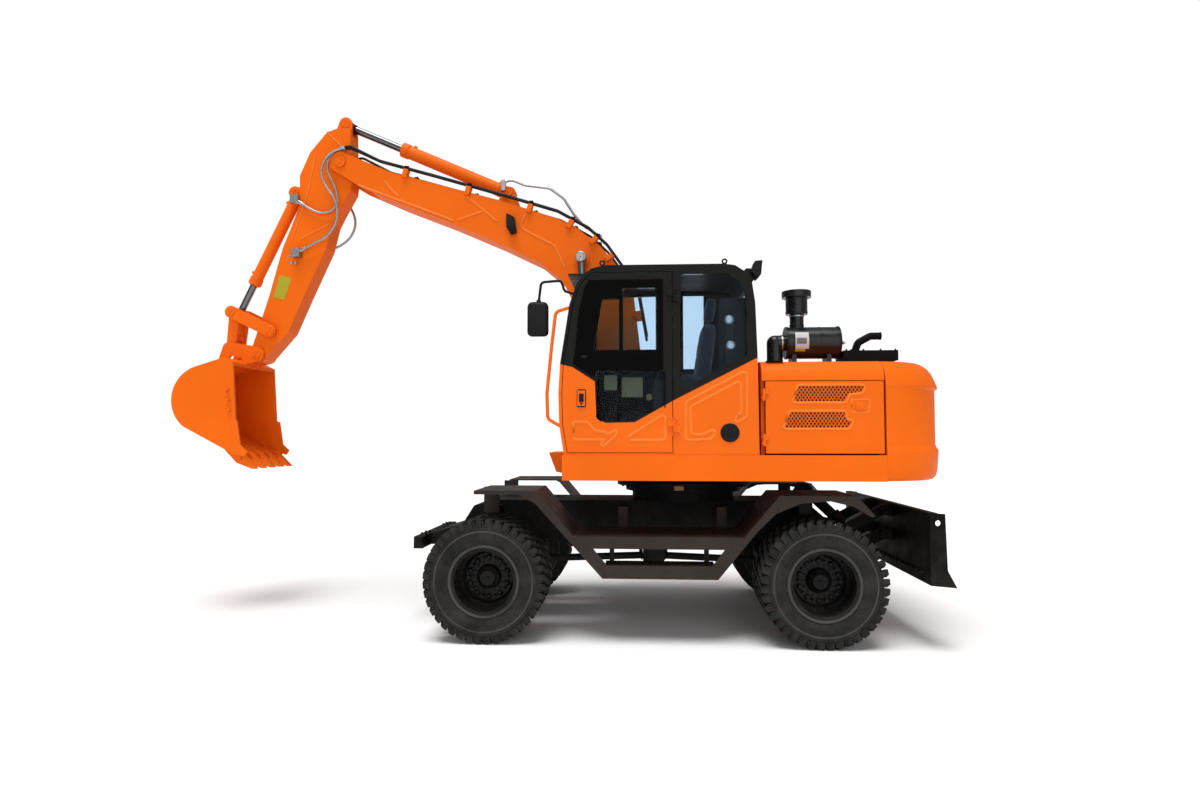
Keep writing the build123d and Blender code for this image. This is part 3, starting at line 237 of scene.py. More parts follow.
plastic = moulded("black_plastic", (0.008, 0.008, 0.009), 0.5, 0.14)
canister = moulded("air_cleaner_shell", (0.008, 0.009, 0.010), 0.26, 0.35)
grey_iron = painted("grey_iron", (0.10, 0.10, 0.10), 0.6, specular=0.3, edge=3, peel=3.0)


def metal(name, colour, rough, turned=0.0):
    s = Shading(name, Metallic=1.0)
    tone = s.mix(s.cloud(25, 4, 0.3, 0.7), shade(colour, 0.88), colour)
    gloss = s.cloud(60, 4, 0.3, 0.7, rough * 0.8, rough * 1.25)
    return s.finish(tone, gloss, s.noise(500, 2, stretch=(1, 1, 12)), 0.01 + turned, s.rounded(1.5))


# darker than bright chrome: the dark surroundings the rods reflect are painted into the colour, a painted
# reflection
chrome = metal("hard_chrome", (0.17, 0.175, 0.185), 0.2)
zinc = metal("zinc_plate", (0.42, 0.43, 0.44), 0.34, 0.03)
braid = metal("steel_braid", (0.40, 0.41, 0.43), 0.42, 0.2)


def rubber(name, colour, rough, grain):
    s = Shading(name, Specular_IOR_Level=0.14)
    tone = s.mix(s.cloud(4, 5, 0.35, 0.7, roughness=0.6), colour, shade(colour, 1.9))
    dusty = s.math("MULTIPLY", s.cloud(6, 6, 0.42, 0.70, roughness=0.7), 0.45)
    gloss = s.cloud(30, 3, 0.3, 0.7, rough - 0.08, rough + 0.08)
    return s.finish(s.mix(dusty, tone, (0.062, 0.057, 0.052)), gloss, s.noise(260, 3), grain, s.rounded(2))


tyre_rubber = rubber("tyre_rubber", (0.011, 0.011, 0.0105), 0.74, 0.25)
# a lighter rubber for the raised ring on the sidewall: a painted highlight
tyre_band_highlight = rubber("tyre_band_highlight", (0.036, 0.035, 0.033), 0.7, 0.2)
hose_rubber = rubber("hose_rubber", (0.008, 0.008, 0.008), 0.42, 0.08)
seal_rubber = rubber("seal_rubber", (0.006, 0.006, 0.006), 0.6, 0.05)
mirror_face = metal("mirror_face", (0.62, 0.63, 0.65), 0.06)
plate_white, plate_grey, plate_olive, plate_yellow = (
    painted(f"plate_{name}", colour, 0.4, edge=1, peel=0.1) for name, colour in (
        ("white", (0.55, 0.56, 0.56)), ("grey", (0.10, 0.11, 0.12)), ("olive", (0.10, 0.085, 0.012)),
        ("yellow", (0.42, 0.35, 0.006))))
reflector_amber = painted("reflector_amber", (0.22, 0.055, 0.01), 0.25, edge=1, peel=0.1)


def glazing(name, tint):
    """Tinted glass with a faint film of dirt."""
    s = Shading(name, Transmission_Weight=1.0, IOR=1.12, Specular_IOR_Level=0.35)
    tone = s.mix(s.cloud(2.2, 3, 0.35, 0.75), tint, shade(tint, 0.94))
    return s.finish(tone, s.cloud(6, 4, 0.4, 0.8, 0.01, 0.05))


cab_glazing = glazing("cab_glazing", (0.70, 0.84, 0.97))


def woven(name, colour):
    """Seat cloth: a fine basket weave with a little sheen."""
    s = Shading(name, Sheen_Weight=0.25, Sheen_Roughness=0.5, Roughness=0.85, Specular_IOR_Level=0.15)
    heights = [s.add("TexWave", {"Scale": 160, "Distortion": 0.6, "Vector": s.place},
                     bands_direction=direction).outputs[1] for direction in ("X", "Z")]
    weave = s.math("MULTIPLY", *heights)
    return s.finish(s.mix(weave, shade(colour, 0.6), shade(colour, 1.3)), None, weave, 0.5)


seat_cloth = woven("seat_cloth", (0.026, 0.034, 0.046))


def split_line(material_name):
    """The cab's two paints: gloss black above a stepped line along the side, orange below it."""
    line = (  # distance aft of the front axle, height
        (560, 2352), (744, 2305), (931, 2184), (942, 1880), (1020, 1838), (1264, 1844), (1581, 2022),
        (2309, 2392),
    )
    x_first, x_last, z_low, z_high = 500, 2400, 1400, 3300
    s = Shading(material_name, Coat_Weight=0.03, Coat_Roughness=0.12, Specular_IOR_Level=0.08)
    x, y, z = s.add("SeparateXYZ", {"Vector": s.place}).outputs
    start = front_axle + x_first * MM
    ramp = s.add("ValToRGB", {"Fac": s.spread(x, start, start + (x_last - x_first) * MM)})
    elements = ramp.color_ramp.elements
    while len(elements) < len(line):
        elements.new(0.5)
    for element, (aft, height) in zip(elements, line):
        element.position = (aft - x_first) / (x_last - x_first)
        level = (height - z_low) / (z_high - z_low)
        element.color = (level, level, level, 1)
    above = s.math("GREATER_THAN", s.spread(z, z_low * MM, z_high * MM), ramp.outputs[0])
    inside = 1.0
    for side, sense, limit in (
            (y, "GREATER_THAN", -1.1375), (y, "LESS_THAN", -0.3525), (x, "GREATER_THAN", front_axle + 0.700),
            (x, "LESS_THAN", front_axle + 2.262)):
        inside = s.math("MULTIPLY", inside, s.math(sense, side, limit))
    black = s.math("MAXIMUM", above, inside)
    normal = s.rounded(5)
    broad = s.cloud(1.3, 3, 0.3, 0.7)
    warm = s.mix(broad, shade(ORANGE, 0.93), shade(ORANGE, 1.04))
    # every edge is lightened alike, a painted highlight: light orange on the orange, grey on the black
    edge_wear_and_highlight = s.math("MULTIPLY", s.edges(normal), 0.3)
    warm = s.mix(edge_wear_and_highlight, warm, (0.93, 0.30, 0.08))
    dark = s.mix(edge_wear_and_highlight, BLACK, (0.03, 0.03, 0.03))
    gloss = s.cloud(9, 4, 0.3, 0.7, 0.28, 0.40)
    return s.finish(s.mix(black, warm, dark), gloss, s.noise(420, 2), 0.03, normal)


cab_paint = split_line("cab_paint")

finishes = (  # material, CAD nodes that take it
    (orange, "boom arm bucket rocker bucket_link boom_barrel arm_barrel bucket_barrel platform counterweight"
             " engine_cover side_door_left side_door_right tank handrail"),
    (chassis_black, "chassis_frame front_beam blade blade_arms blade_links blade_barrel slew_ring exhaust"),
    (step_brown, "step_frame_left step_frame_right"),
    (cast_black, "front_axle rear_axle drive_line knuckle_left knuckle_right tie_rod"),
    (zinc, "arm_ports"),
    (hose_rubber, "boom_lines arm_hose_outer arm_hose_inner arm_hose_right"),
    (chrome, "boom_rod arm_rod bucket_rod blade_rod"),
    (tyre_rubber, "tyres_front_left tyres_front_right tyres_rear_left tyres_rear_right"),
    (rim_black, "rims_front_left rims_front_right rims_rear_left rims_rear_right"),
    (cab_paint, "cab_shell cab_door"),
    (cab_glazing, "cab_glass door_glass"),
    (seat_cloth, "seat"),
    (plastic, "cab_controls mirror_left boom_lamp roof_lamp"),
    (canister, "air_cleaner"),
    (grey_iron, "engine_block"),
)
for material, names in finishes:
    for name in names.split():
        mesh = frame["nodes"][name].data
        mesh.materials.clear()
        mesh.materials.append(material)


# ---- shapes ----------------------------------------------------------------------------
UP, LEFT, RIGHT, BACK = (0, 0, 1), (0, -1, 0), (0, 1, 0), (1, 0, 0)


def across(axis):
    """Two unit vectors square to an axis and to each other."""
    first = axis.cross(Vector((0, 0, 1)) if abs(axis.z) < 0.9 else Vector((1, 0, 0))).normalized()
    return first, axis.cross(first).normalized()


def circle(centre, first, second, radius, count, turn=0.0):
    """Points evenly round a centre, in the plane of two unit vectors."""
    turns = [2 * math.pi * (i + turn) / count for i in range(count)]
    return [centre + (first * math.cos(a) + second * math.sin(a)) * radius for a in turns]


def ring_of(centre, axis, radius, count, turn=0.0):
    """Points evenly round an axis."""
    return circle(Vector(centre), *across(Vector(axis).normalized()), radius, count, turn)


class Shape:
    """A mesh put together from simple strokes, in millimetres from the front axle. put() empties it."""

    def __init__(self):
        self.bm = bmesh.new()

    def points(self, corners):
        return [self.bm.verts.new(at(*corner)) for corner in corners]

    def join(self, first, second):
        """Quads between two loops of as many points."""
        for i in range(len(first)):
            after = (i + 1) % len(first)
            self.bm.faces.new((first[i], first[after], second[after], second[i]))

    def loft(self, *loops):
        """A closed form through loops of as many corners, capped at both ends."""
        rows = [self.points(loop) for loop in loops]
        for first, second in zip(rows, rows[1:]):
            self.join(first, second)
        self.bm.faces.new(rows[0])
        self.bm.faces.new(rows[-1][::-1])

    def prism(self, outline, low, high):
        """A side-view outline filled between two widths."""
        low, high = sorted((low, high))
        self.loft([(x, low, z) for x, z in outline], [(x, high, z) for x, z in outline])

    def block(self, x_low, x_high, y_low, y_high, z_low, z_high):
        self.prism([(x_low, z_low), (x_high, z_low), (x_high, z_high), (x_low, z_high)], y_low, y_high)

    def lathe(self, centre, axis, profile, sides=32, around=0.0):
        """A profile of (radius beyond around, distance along the axis), turned round the axis."""
        axis = Vector(axis).normalized()
        rows = [self.points(ring_of(Vector(centre) + axis * reach, axis, around + radius, sides))
                for radius, reach in profile]
        for before, after in zip(rows, rows[1:]):
            self.join(before, after)

    def knob(self, centre, axis, profile, sides=32, around=0.0):
        """A turned form that is closed to its axis at both ends."""
        ends = [(-around, profile[0][1])], [(-around, profile[-1][1])]
        self.lathe(centre, axis, ends[0] + list(profile) + ends[1], sides, around)

    def screw(self, centre, axis, size, base=0.0):
        """A chamfered hexagon head of that width across corners."""
        side = size / 2
        profile = [(side, base - 0.01), (side, base + side), (0.42 * size, base + 0.62 * size)]
        self.knob(centre, axis, profile, 6)

    def bolt(self, centre, axis, size):
        """A hexagon head on a washer."""
        base = 0.16 * size
        self.knob(centre, axis, [(0.62 * size, 0), (0.62 * size, 0.1 * size), (0.56 * size, base)], 14)
        self.screw(centre, axis, size, base)

    def tube(self, route, radius, sides=10):
        """A round bar that follows a line of points; the radius is one number or one for each point."""
        route = [Vector(point) for point in route]
        runs = [(b - a).normalized() for a, b in zip(route, route[1:])]
        tangents = [runs[0]] + [(a + b).normalized() for a, b in zip(runs, runs[1:])] + [runs[-1]]
        first, _ = across(tangents[0])
        rows = []
        for i, (point, tangent) in enumerate(zip(route, tangents)):
            first = (first - tangent * first.dot(tangent)).normalized()
            second = tangent.cross(first)
            size = radius[i] if isinstance(radius, (list, tuple)) else radius
            rows.append(circle(point, first, second, size, sides))
        self.loft(*rows)

    def put(self, name, material, body="platform", bevel=0.0, steps=2, angle=35, slot=None):
        """Closes the mesh, rounds its sharp edges and sets it on a body; the slot argument is not used."""
        bmesh.ops.remove_doubles(self.bm, verts=self.bm.verts, dist=0.02 * MM)
        bmesh.ops.recalc_face_normals(self.bm, faces=self.bm.faces)
        if bevel:
            sharp = [edge for edge in self.bm.edges
                     if len(edge.link_faces) == 2 and edge.calc_face_angle(0) > math.radians(angle)]
            bmesh.ops.bevel(self.bm, geom=sharp, offset=bevel * MM, segments=steps, profile=0.5,
                            affect="EDGES", clamp_overlap=True)
        mesh = bpy.data.meshes.new(name)
        self.bm.to_mesh(mesh)
        self.bm.free()
        self.bm = bmesh.new()
        mesh.polygons.foreach_set("use_smooth", [True] * len(mesh.polygons))
        mesh.set_sharp_from_angle(angle=math.radians(angle))
        mesh.materials.append(material)
        piece = bpy.data.objects.new(name, mesh)
        scene.collection.objects.link(piece)
        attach(piece, body)
        return piece


def rounded(corners, radius, steps=6):
    """An open line of points whose inner corners are rounded."""
    corners = [Vector(corner) for corner in corners]
    line = [corners[0]]
    for before, corner, after in zip(corners, corners[1:], corners[2:]):
        back, ahead = before - corner, after - corner
        turn = math.pi - back.angle(ahead)
        reach = min(radius * math.tan(turn / 2), 0.48 * back.length, 0.48 * ahead.length)
        start, end = corner + back.normalized() * reach, corner + ahead.normalized() * reach
        for i in range(steps + 1):
            t = i / steps
            line.append(start * (1 - t) ** 2 + corner * (2 * t * (1 - t)) + end * t ** 2)
    return line + [corners[-1]]


pen = Shape()

# ---- tyres and wheels ------------------------------------------------------------------
SIDE = 1180          # outer face of the superstructure's sides
HOUSE_REAR = 3308
BOOM_TIP = (-1735, 4512)
BUCKET_CYLINDER = (-2240, 4235)
STUD_CIRCLE = 168
RIM_EDGE = 103
TYRE_RADIUS = 518
LUGS = 40
TWIN_MIDDLES = (788, 1078)   # distance of each tyre's middle from the machine's centre line
TYRE_SIDE = (  # radius, half width: from the bead over the sidewall to the tread's floor
    (289, 88), (292, 96), (304, 103), (309, 101), (330, 112), (352, 118.5), (357, 120.5), (362, 119.5),
    (400, 121.5), (424, 119), (430, 121.5), (440, 121.5), (446, 117), (455, 110), (466, 100), (471, 84),
    (474, 40),
)
LUG_SECTION = (  # distance from the tyre's middle, radius
    (14, 466), (16, 512), (22, 518), (94, 518), (106, 513), (113, 486), (118, 452), (100, 444),
)
SHOULDER_SECTION = ((96, 450), (90, 492), (104, 496), (110, 488), (117, 450))
LOCK_RING = (  # radius, distance out of the rim's edge
    (248, -26), (262, -26), (268, -8), (271, 1), (266, 4), (259, 2), (256, -6), (250, -9), (248, -26))
RIM_LIP = ((270, -14), (284, -4), (298, -2), (302, 3), (297, 6), (287, 4), (274, -3), (270, -14))


def tyre(axle_x, middle, low, high):
    """One tyre; low and high are how far its two sides bulge, as shares of the full width."""
    profile = [(radius, -half * low) for radius, half in TYRE_SIDE]
    profile += [(radius, half * high) for radius, half in TYRE_SIDE[::-1]]
    pen.lathe((axle_x, middle, TYRE_RADIUS), RIGHT, profile + [profile[0]], 96)
    pitch = 2 * math.pi / LUGS

    def spot(angle, radius, reach):
        return axle_x + radius * math.sin(angle), middle + reach, TYRE_RADIUS + radius * math.cos(angle)

    for hand, share in ((-1, low), (1, high)):
        for i in range(LUGS):
            turn = pitch * (i + 0.25 * hand)
            loops = []
            for flank in (-1, 1):
                loop = []
                for reach, radius in LUG_SECTION:
                    half = 0.27 + 0.05 * (TYRE_RADIUS - radius) / 60
                    angle = turn + pitch * (flank * half + hand * 0.35 * (reach - 60) / 60)
                    loop.append(spot(angle, radius, hand * reach * (share if reach > 60 else 1)))
                loops.append(loop)
            pen.loft(*loops)
            turn += pitch * (0.5 + hand * 0.35)
            pen.loft(*[[spot(turn + pitch * flank, radius, hand * reach * share)
                        for reach, radius in SHOULDER_SECTION] for flank in (-0.1, 0.1)])


for wheel, axle_x, sign in (("front_left", 0, -1), ("front_right", 0, 1), ("rear_left", 2800, -1),
                            ("rear_right", 2800, 1)):
    body = f"wheel_{wheel}"
    inner, outer = (sign * middle for middle in TWIN_MIDDLES)
    slim, full = 0.87, 1.0   # the inner tyre bulges less where it faces its twin
    tyre(axle_x, inner, *((slim, full) if sign > 0 else (full, slim)))
    tyre(axle_x, outer, full, full)
    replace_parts(pen.put(f"tyre_pair_{wheel}", tyre_rubber, body, angle=28), f"tyres_{wheel}")

    out = Vector((0, sign, 0))
    hub = Vector((axle_x, sign * (sum(TWIN_MIDDLES) / 2 + 17), TYRE_RADIUS))
    cap = hub + out * 79
    for spot in ring_of(hub, out, STUD_CIRCLE, 10, 0.5):
        pen.knob(spot, out, [(27, 0), (26, 5), (20, 8)], 20)
        pen.screw(spot + out * 8, out, 42)
    for spot in ring_of(hub, out, 128, 16):
        pen.bolt(spot, out, 17)
    for spot in ring_of(cap, out, 40, 6):
        pen.screw(spot, out, 11)
    pen.knob(cap, out, [(17, 0), (16, 9), (8, 12)], 24)
    pen.put(f"wheel_nuts_{wheel}", rim_black, body, bevel=0.8, steps=1)

    lips, bands = Shape(), Shape()
    for middle, side in ((inner, -sign), (outer, sign)):
        edge, axis = (axle_x, middle + side * RIM_EDGE, TYRE_RADIUS), (0, side, 0)
        pen.lathe(edge, axis, LOCK_RING, 72)
        lips.lathe(edge, axis, RIM_LIP, 72)
        # the raised sidewall ring, in the lighter rubber of a painted highlight
        bands.lathe((axle_x, middle, TYRE_RADIUS), axis, [(404, 116), (408, 123), (420, 123), (425, 116)], 72)
    x, y, z = axle_x + 150, outer + sign * 40, TYRE_RADIUS + 186
    pen.tube(rounded([(x, y, z), (x, y + sign * 40, z), (x - 8, y + sign * 66, z - 10)], 14), 4.5, 10)
    pen.put(f"lock_rings_{wheel}", rim_black, body)
    lips.put(f"rim_lips_{wheel}", rim_edge, body)
    bands.put(f"tyre_band_highlights_{wheel}", tyre_band_highlight, body)


# ---- pins, glands and hoses of the boom and arm -----------------------------------------
def pin_end(shape, spot, face, sign, radius):
    """The cap of a pin that lies across the machine, with its keeper bolts and grease nipple."""
    out = (0, sign, 0)
    profile = [(radius, 0), (radius, 5), (radius - 5, 10), (radius - 14, 10), (radius - 16, 7),
               (9, 7), (7, 10), (5, 16)]
    shape.knob((spot[0], face * sign, spot[1]), out, profile, 36)
    for bolt in ring_of((spot[0], (face + 7) * sign, spot[1]), out, radius - 22, 2, 0.3):
        shape.screw(bolt, out, 15)


pins = (  # body, side view, width of the face it stands on, radius of its cap
    ("boom", BOOM_TIP, 160, 56), ("platform", (1350, 1791), 196, 58), ("boom", (-19, 4195), 86, 46),
    ("arm", (-1718, 4942), 78, 46), ("arm", BUCKET_CYLINDER, 92, 42), ("rocker", (-2433, 2792), 166, 50),
    ("rocker", (-2840, 2990), 166, 42), ("bucket", (-2580, 2562), 134, 46),
    ("boom_rods", (731, 3476), 269, 50), ("platform", (800, 1650), 300, 46), ("blade", (3560, 830), 320, 46),
    ("blade", (3560, 1050), 320, 46), ("chassis", (3040, 560), 320, 46), ("chassis", (3040, 780), 320, 46),
)
caps = {}
for body, spot, face, radius in pins:
    for sign in (-1, 1):
        pin_end(caps.setdefault(body, Shape()), spot, face, sign, radius)
for body, shape in caps.items():
    paint = {"blade": chassis_black, "chassis": chassis_black, "boom_rods": zinc}.get(body, orange)
    shape.put(f"pin_caps_{body}", paint, body, bevel=1, steps=1)

cylinders = (  # bodies of barrel and rod, base, eye, widths, radius of both, length to the gland's face
    ("boom_barrels", "boom_rods", (800, 1650), (731, 3476), (-225, 225), 62, 36, 1120),
    ("arm_barrel", "arm_rod", (-19, 4195), (-1718, 4942), (0,), 66, 38, 1218),
    ("bucket_barrel", "bucket_rod", BUCKET_CYLINDER, (-2840, 2990), (0,), 56, 34, 1040),
    ("blade_barrels", "blade_rods", (2895, 1225), (3400, 747), (-110, 110), 40, 22, 470),
)
for barrel, rod, base, eye, widths, thick, thin, gland in cylinders:
    run = Vector((eye[0] - base[0], 0, eye[1] - base[1])).normalized()
    up = Vector((-run.z, 0, run.x))
    up = up if up.z > 0 else -up
    flat = barrel == "boom_barrels"   # the boom passes close by these glands
    proud = 0.15 if flat else 1
    collared = rod in ("arm_rod", "blade_rods")
    heads, seals, collars = Shape(), Shape(), Shape()
    for y in widths:
        start = Vector((base[0], y, base[1]))
        face = start + run * gland
        if not flat:
            for spot in ring_of(face, run, thick - 9, 8, 0.5):
                heads.screw(spot, run, 13)
        heads.lathe(face, run, [(9, -2), (9, 6 * proud), (6, 9 * proud), (1, 9 * proud), (1, -2)], 32, thin)
        for reach in (gland - 74, thick + 46):
            heads.lathe(start + run * reach, run, [(-1, -7), (4, -5), (4, 5), (-1, 7)], 36, thick)
        lip = [(0.5, -1), (6, 0), (6, 10 * proud), (2, 15 * proud), (0.5, 15 * proud), (0.5, -1)]
        seals.lathe(face, run, lip, 32, thin)
        for reach in (thick + 66, gland - 110):
            heads.knob(start + run * reach + up * (thick - 4), up, [(19, 0), (19, 20), (16, 24)], 6)
        if collared:
            collars.lathe(Vector((eye[0], y, eye[1])) - run * thin * 1.35, -run,
                          [(0.4, 0), (9, 3), (9, 26), (3, 40), (0.4, 40), (0.4, 0)], 32, thin)
    paint = chassis_black if barrel == "blade_barrels" else orange
    heads.put(f"gland_heads_{barrel}", paint, barrel, bevel=0.8, steps=1)
    seals.put(f"wipers_{barrel}", seal_rubber, barrel, slot="hose")
    if collared:
        collars.put(f"rod_collars_{barrel}", chassis_black, rod)


def smooth_line(points):
    """Points along the smooth line that a hose takes through its route's points."""
    curve = bpy.data.curves.new("route", "CURVE")
    curve.dimensions = "3D"
    curve.resolution_u = 20
    spline = curve.splines.new("NURBS")
    spline.points.add(len(points) - 1)
    for point, target in zip(points, spline.points):
        target.co = (*point, 1)
    spline.order_u = 3
    spline.use_endpoint_u = True
    holder = bpy.data.objects.new("route", curve)
    scene.collection.objects.link(holder)
    mesh = bpy.data.meshes.new_from_object(holder)
    line = [vertex.co.copy() for vertex in mesh.vertices]
    bpy.data.objects.remove(holder)
    bpy.data.curves.remove(curve)
    bpy.data.meshes.remove(mesh)
    return line


def evenly(line, step):
    """The same line with points a step apart, and its length."""
    total = sum((b - a).length for a, b in zip(line, line[1:]))
    count = max(2, round(total / step))
    spots, walked, i = [line[0]], 0.0, 0
    for k in range(1, count):
        target = total * k / count
        while walked + (line[i + 1] - line[i]).length < target:
            walked += (line[i + 1] - line[i]).length
            i += 1
        spots.append(line[i].lerp(line[i + 1], (target - walked) / (line[i + 1] - line[i]).length))
    return spots + [line[-1]], total


FITTING = (  # radius beyond the hose's, distance from its end
    (7, -6), (7, 12), (4, 15), (4, 18), (6, 20), (6, 26), (4, 28), (6, 30), (6, 36), (4, 38), (6, 40),
    (5, 50), (0.9, 52))


def free_hose(name, route, radius, first, second, wrap=0.8):
    """A hose that hangs between two bodies, in a spiral guard, with a crimped fitting at each end."""
    line, total = evenly(smooth_line(route), 3)
    rings = [radius + wrap * (0.5 + 0.5 * math.sin(i * 1.26)) - wrap * 0.5 for i in range(len(line))]
    pen.tube(line, rings, 14)
    hose = pen.put(name, braid, first, angle=60)
    hose.parent = None
    del hose["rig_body"]
    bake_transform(hose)
    for body, end, ahead in ((first, line[0], line[4]), (second, line[-1], line[-5])):
        pen.knob(end, ahead - end, FITTING, 24, radius)
        pen.put(f"{name}_fitting_{body}", zinc, body)
    return hose


arm_hoses = {  # X, Y, Z of each hose's route from the boom's line to the arm's port
    "arm_hose_outer": (
        (-1690, -164, 4656), (-1811, -172, 4622), (-1895, -186, 4512), (-1918, -200, 4381),
        (-1852, -212, 4238), (-1762, -216, 4126), (-1724, -210, 4006), (-1752, -196, 3850),
        (-1850, -178, 3737), (-2000, -160, 3672), (-2110, -146, 3620)),
    "arm_hose_inner": (
        (-1690, -132, 4656), (-1775, -138, 4650), (-1862, -150, 4560), (-1872, -160, 4418),
        (-1792, -164, 4285), (-1752, -160, 4170), (-1766, -150, 4072), (-1836, -142, 4000),
        (-1945, -136, 3992), (-2055, -130, 4042), (-2150, -126, 4106)),
    "arm_hose_right": (
        (-1690, 164, 4656), (-1800, 172, 4612), (-1880, 184, 4490), (-1896, 194, 4350),
        (-1830, 196, 4230), (-1738, 192, 4118), (-1694, 182, 3975), (-1740, 168, 3824),
        (-1858, 152, 3724), (-2000, 140, 3676), (-2110, 132, 3650)),
}
for name, route in arm_hoses.items():
    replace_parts(free_hose(f"{name}_guarded", route, 12, "boom", "arm"), name)

clamp_line = ((-1321, 4512), (-758, 4348), (-37, 4131), (489, 3965), (795, 3791), (980, 3619))
clamp_line = [Vector((x, 0, z)) for x, z in clamp_line]
for start, end in zip(clamp_line, clamp_line[1:]):
    middle, run = (start + end) / 2, (end - start).normalized()
    up = Vector((-run.z, 0, run.x))
    for low, high in ((-182, -114), (132, 182)):
        section = ((low, -8), (low, 13), (low + 6, 18), (high - 6, 18), (high, 13), (high, -8))
        pen.loft(*[[middle + run * reach + up * rise + Vector((0, y, 0)) for y, rise in section]
                   for reach in (-20, 20)])
        pen.bolt(middle + up * 18 + Vector((0, (low + high) / 2, 0)), up, 16)
pen.put("line_clamps", chassis_black, "boom", bevel=1.5)

pen.prism([(-2374, 3372), (-2244, 3342), (-2314, 3116), (-2433, 3146)], -102.4, -100)
pen.put("blank_plate", plate_yellow, "arm", bevel=0.6, steps=1)

for x, z in ((-2245, 3545), (-2196, 3545)):
    pen.bolt((x, -172, z), LEFT, 16)
for x, z in ((-2232, 3480), (-2190, 3480)):
    pen.knob((x, -136, z + 22), (0, 0, -1), [(15, 0), (15, 12), (9, 16), (9, 30)], 6)
pen.put("valve_bolts", zinc, "arm", bevel=0.6, steps=1)

pen.prism([(-6, 3905), (58, 3872), (74, 3762), (36, 3748), (-2, 3800)], -236, -231.5)
for x, z in ((2, 3895), (56, 3862), (68, 3772), (32, 3758)):
    pen.screw((x, -235.5, z), LEFT, 9)
pen.put("boom_lamp_cover", seal_rubber, "boom", bevel=1.2)

weld_beads = (  # body, distance from the middle, radius, lines in side view
    ("boom", 147, 12, (
        ((-1268, 4309), (-1235, 4254), (-1123, 4142)), ((-419, 4128), (-122, 3873)),
        ((-510, 3896), (-247, 3984)),
        ((-1536, 4270), (-1180, 4130), (-700, 3945), (-560, 3885)),
        ((170, 3945), (109, 3807), (463, 3616), (560, 3400)))),
    ("arm", 98, 9, (
        ((-1886, 4832), (-1768, 4716), (-1700, 4655)), ((-2010, 4660), (-2101, 4179), (-2253, 3738)),
        ((-1850, 3900), (-2160, 3740)))),
)
for body, face, radius, lines in weld_beads:
    for line in lines:
        pen.tube(rounded([(x, -face, z) for x, z in line], 60), radius, 8)
    # the beads take the lighter orange of a painted highlight
    pen.put(f"{body}_beads", orange_bead_highlight, body)

line = [(-60, -104, 4290), (20, -104, 4306), (150, -100, 4250), (400, -100, 4215), (543, -100, 4107),
        (640, -104, 3952), (745, -112, 3822), (860, -124, 3744), (905, -128, 3712)]
pen.tube(rounded(line, 120), 13, 12)
pen.put("arm_cylinder_line", braid, "boom", angle=60)
for spot, axis in ((line[0], (80, 0, 16)), (line[-1], (-45, 4, 32))):
    pen.knob(spot, axis, [(19, -20), (19, 14), (16, 16), (16, 40)], 6)
pen.block(-84, -44, -124, -80, 4196, 4306)
pen.put("arm_cylinder_line_ends", zinc, "boom", bevel=1, steps=1)

for sign in (-1, 1):
    for x, z in ((-2712, 2180), (-2700, 2080), (-2690, 1980)):
        pen.bolt((x, 400 * sign, z), (0, sign, 0), 34)
pen.put("bucket_bolts", orange, "bucket")


# ---- house: counterweight, grilles and doors --------------------------------------------
def plan(rear, half, corner, steps=14):
    """A level outline of the counterweight, open towards the house, with rounded rear corners."""
    corner = min(corner, rear - HOUSE_REAR - 2)
    line = [(HOUSE_REAR, -half)]
    for i in range(steps + 1):
        a = math.pi / 2 * i / steps
        line.append((rear - corner + corner * math.sin(a), -half + corner - corner * math.cos(a)))
    return line + [(rear + 2, 0)] + [(x, -y) for x, y in line[::-1]]


levels = (  # height, rear, half width, radius of the rear corners
    (1361, 3806, 1150, 500), (1368, 3838, 1172, 540), (1395, 3868, 1186, 560), (1440, 3884, 1190, 570),
    (1580, 3898, 1191, 580), (1612, 3898, 1190, 580), (1636, 3880, 1182, 575), (1660, 3870, 1180, 570),
    (2060, 3872, 1180, 570), (2112, 3872, 1180, 570), (2122, 3882, 1180, 572), (2130, 3898, 1180, 576),
    (2152, 3900, 1180, 578), (2170, 3892, 1179, 578), (2206, 3878, 1172, 578), (2262, 3850, 1150, 576),
    (2306, 3816, 1116, 572), (2334, 3778, 1080, 566), (2348, 3738, 1056, 560), (2352, 3700, 1040, 556),
)
pen.loft(*[[(x, y, z) for x, y in plan(rear, half, corner)] for z, rear, half, corner in levels])
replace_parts(pen.put("counterweight_casting", orange, angle=50), "counterweight")


def ridge(shape, line, face, radius, size=13, depth=9):
    """A pressed bead, closed on itself, that stands a little proud of a side face."""
    corners = [Vector((x, face + depth * (1 if face < 0 else -1), z)) for x, z in line]
    middle = (corners[0] + corners[-1]) / 2
    shape.tube(rounded([middle] + corners + [middle], radius, 5), size, 10)


def clipped(outline, start, run):
    """The stretches of a straight line that lie inside an outline."""
    start, run, crossings = Vector(start), Vector(run), []
    corners = [Vector(corner) for corner in outline]
    for before, after in zip(corners, corners[1:] + corners[:1]):
        side_a, side_b = (before - start).cross(run), (after - start).cross(run)
        if (side_a > 0) != (side_b > 0):
            crossing = before.lerp(after, side_a / (side_a - side_b))
            crossings.append((crossing - start).dot(run) / run.length_squared)
    crossings.sort()
    return [[start + run * t for t in pair] for pair in zip(crossings[::2], crossings[1::2])]


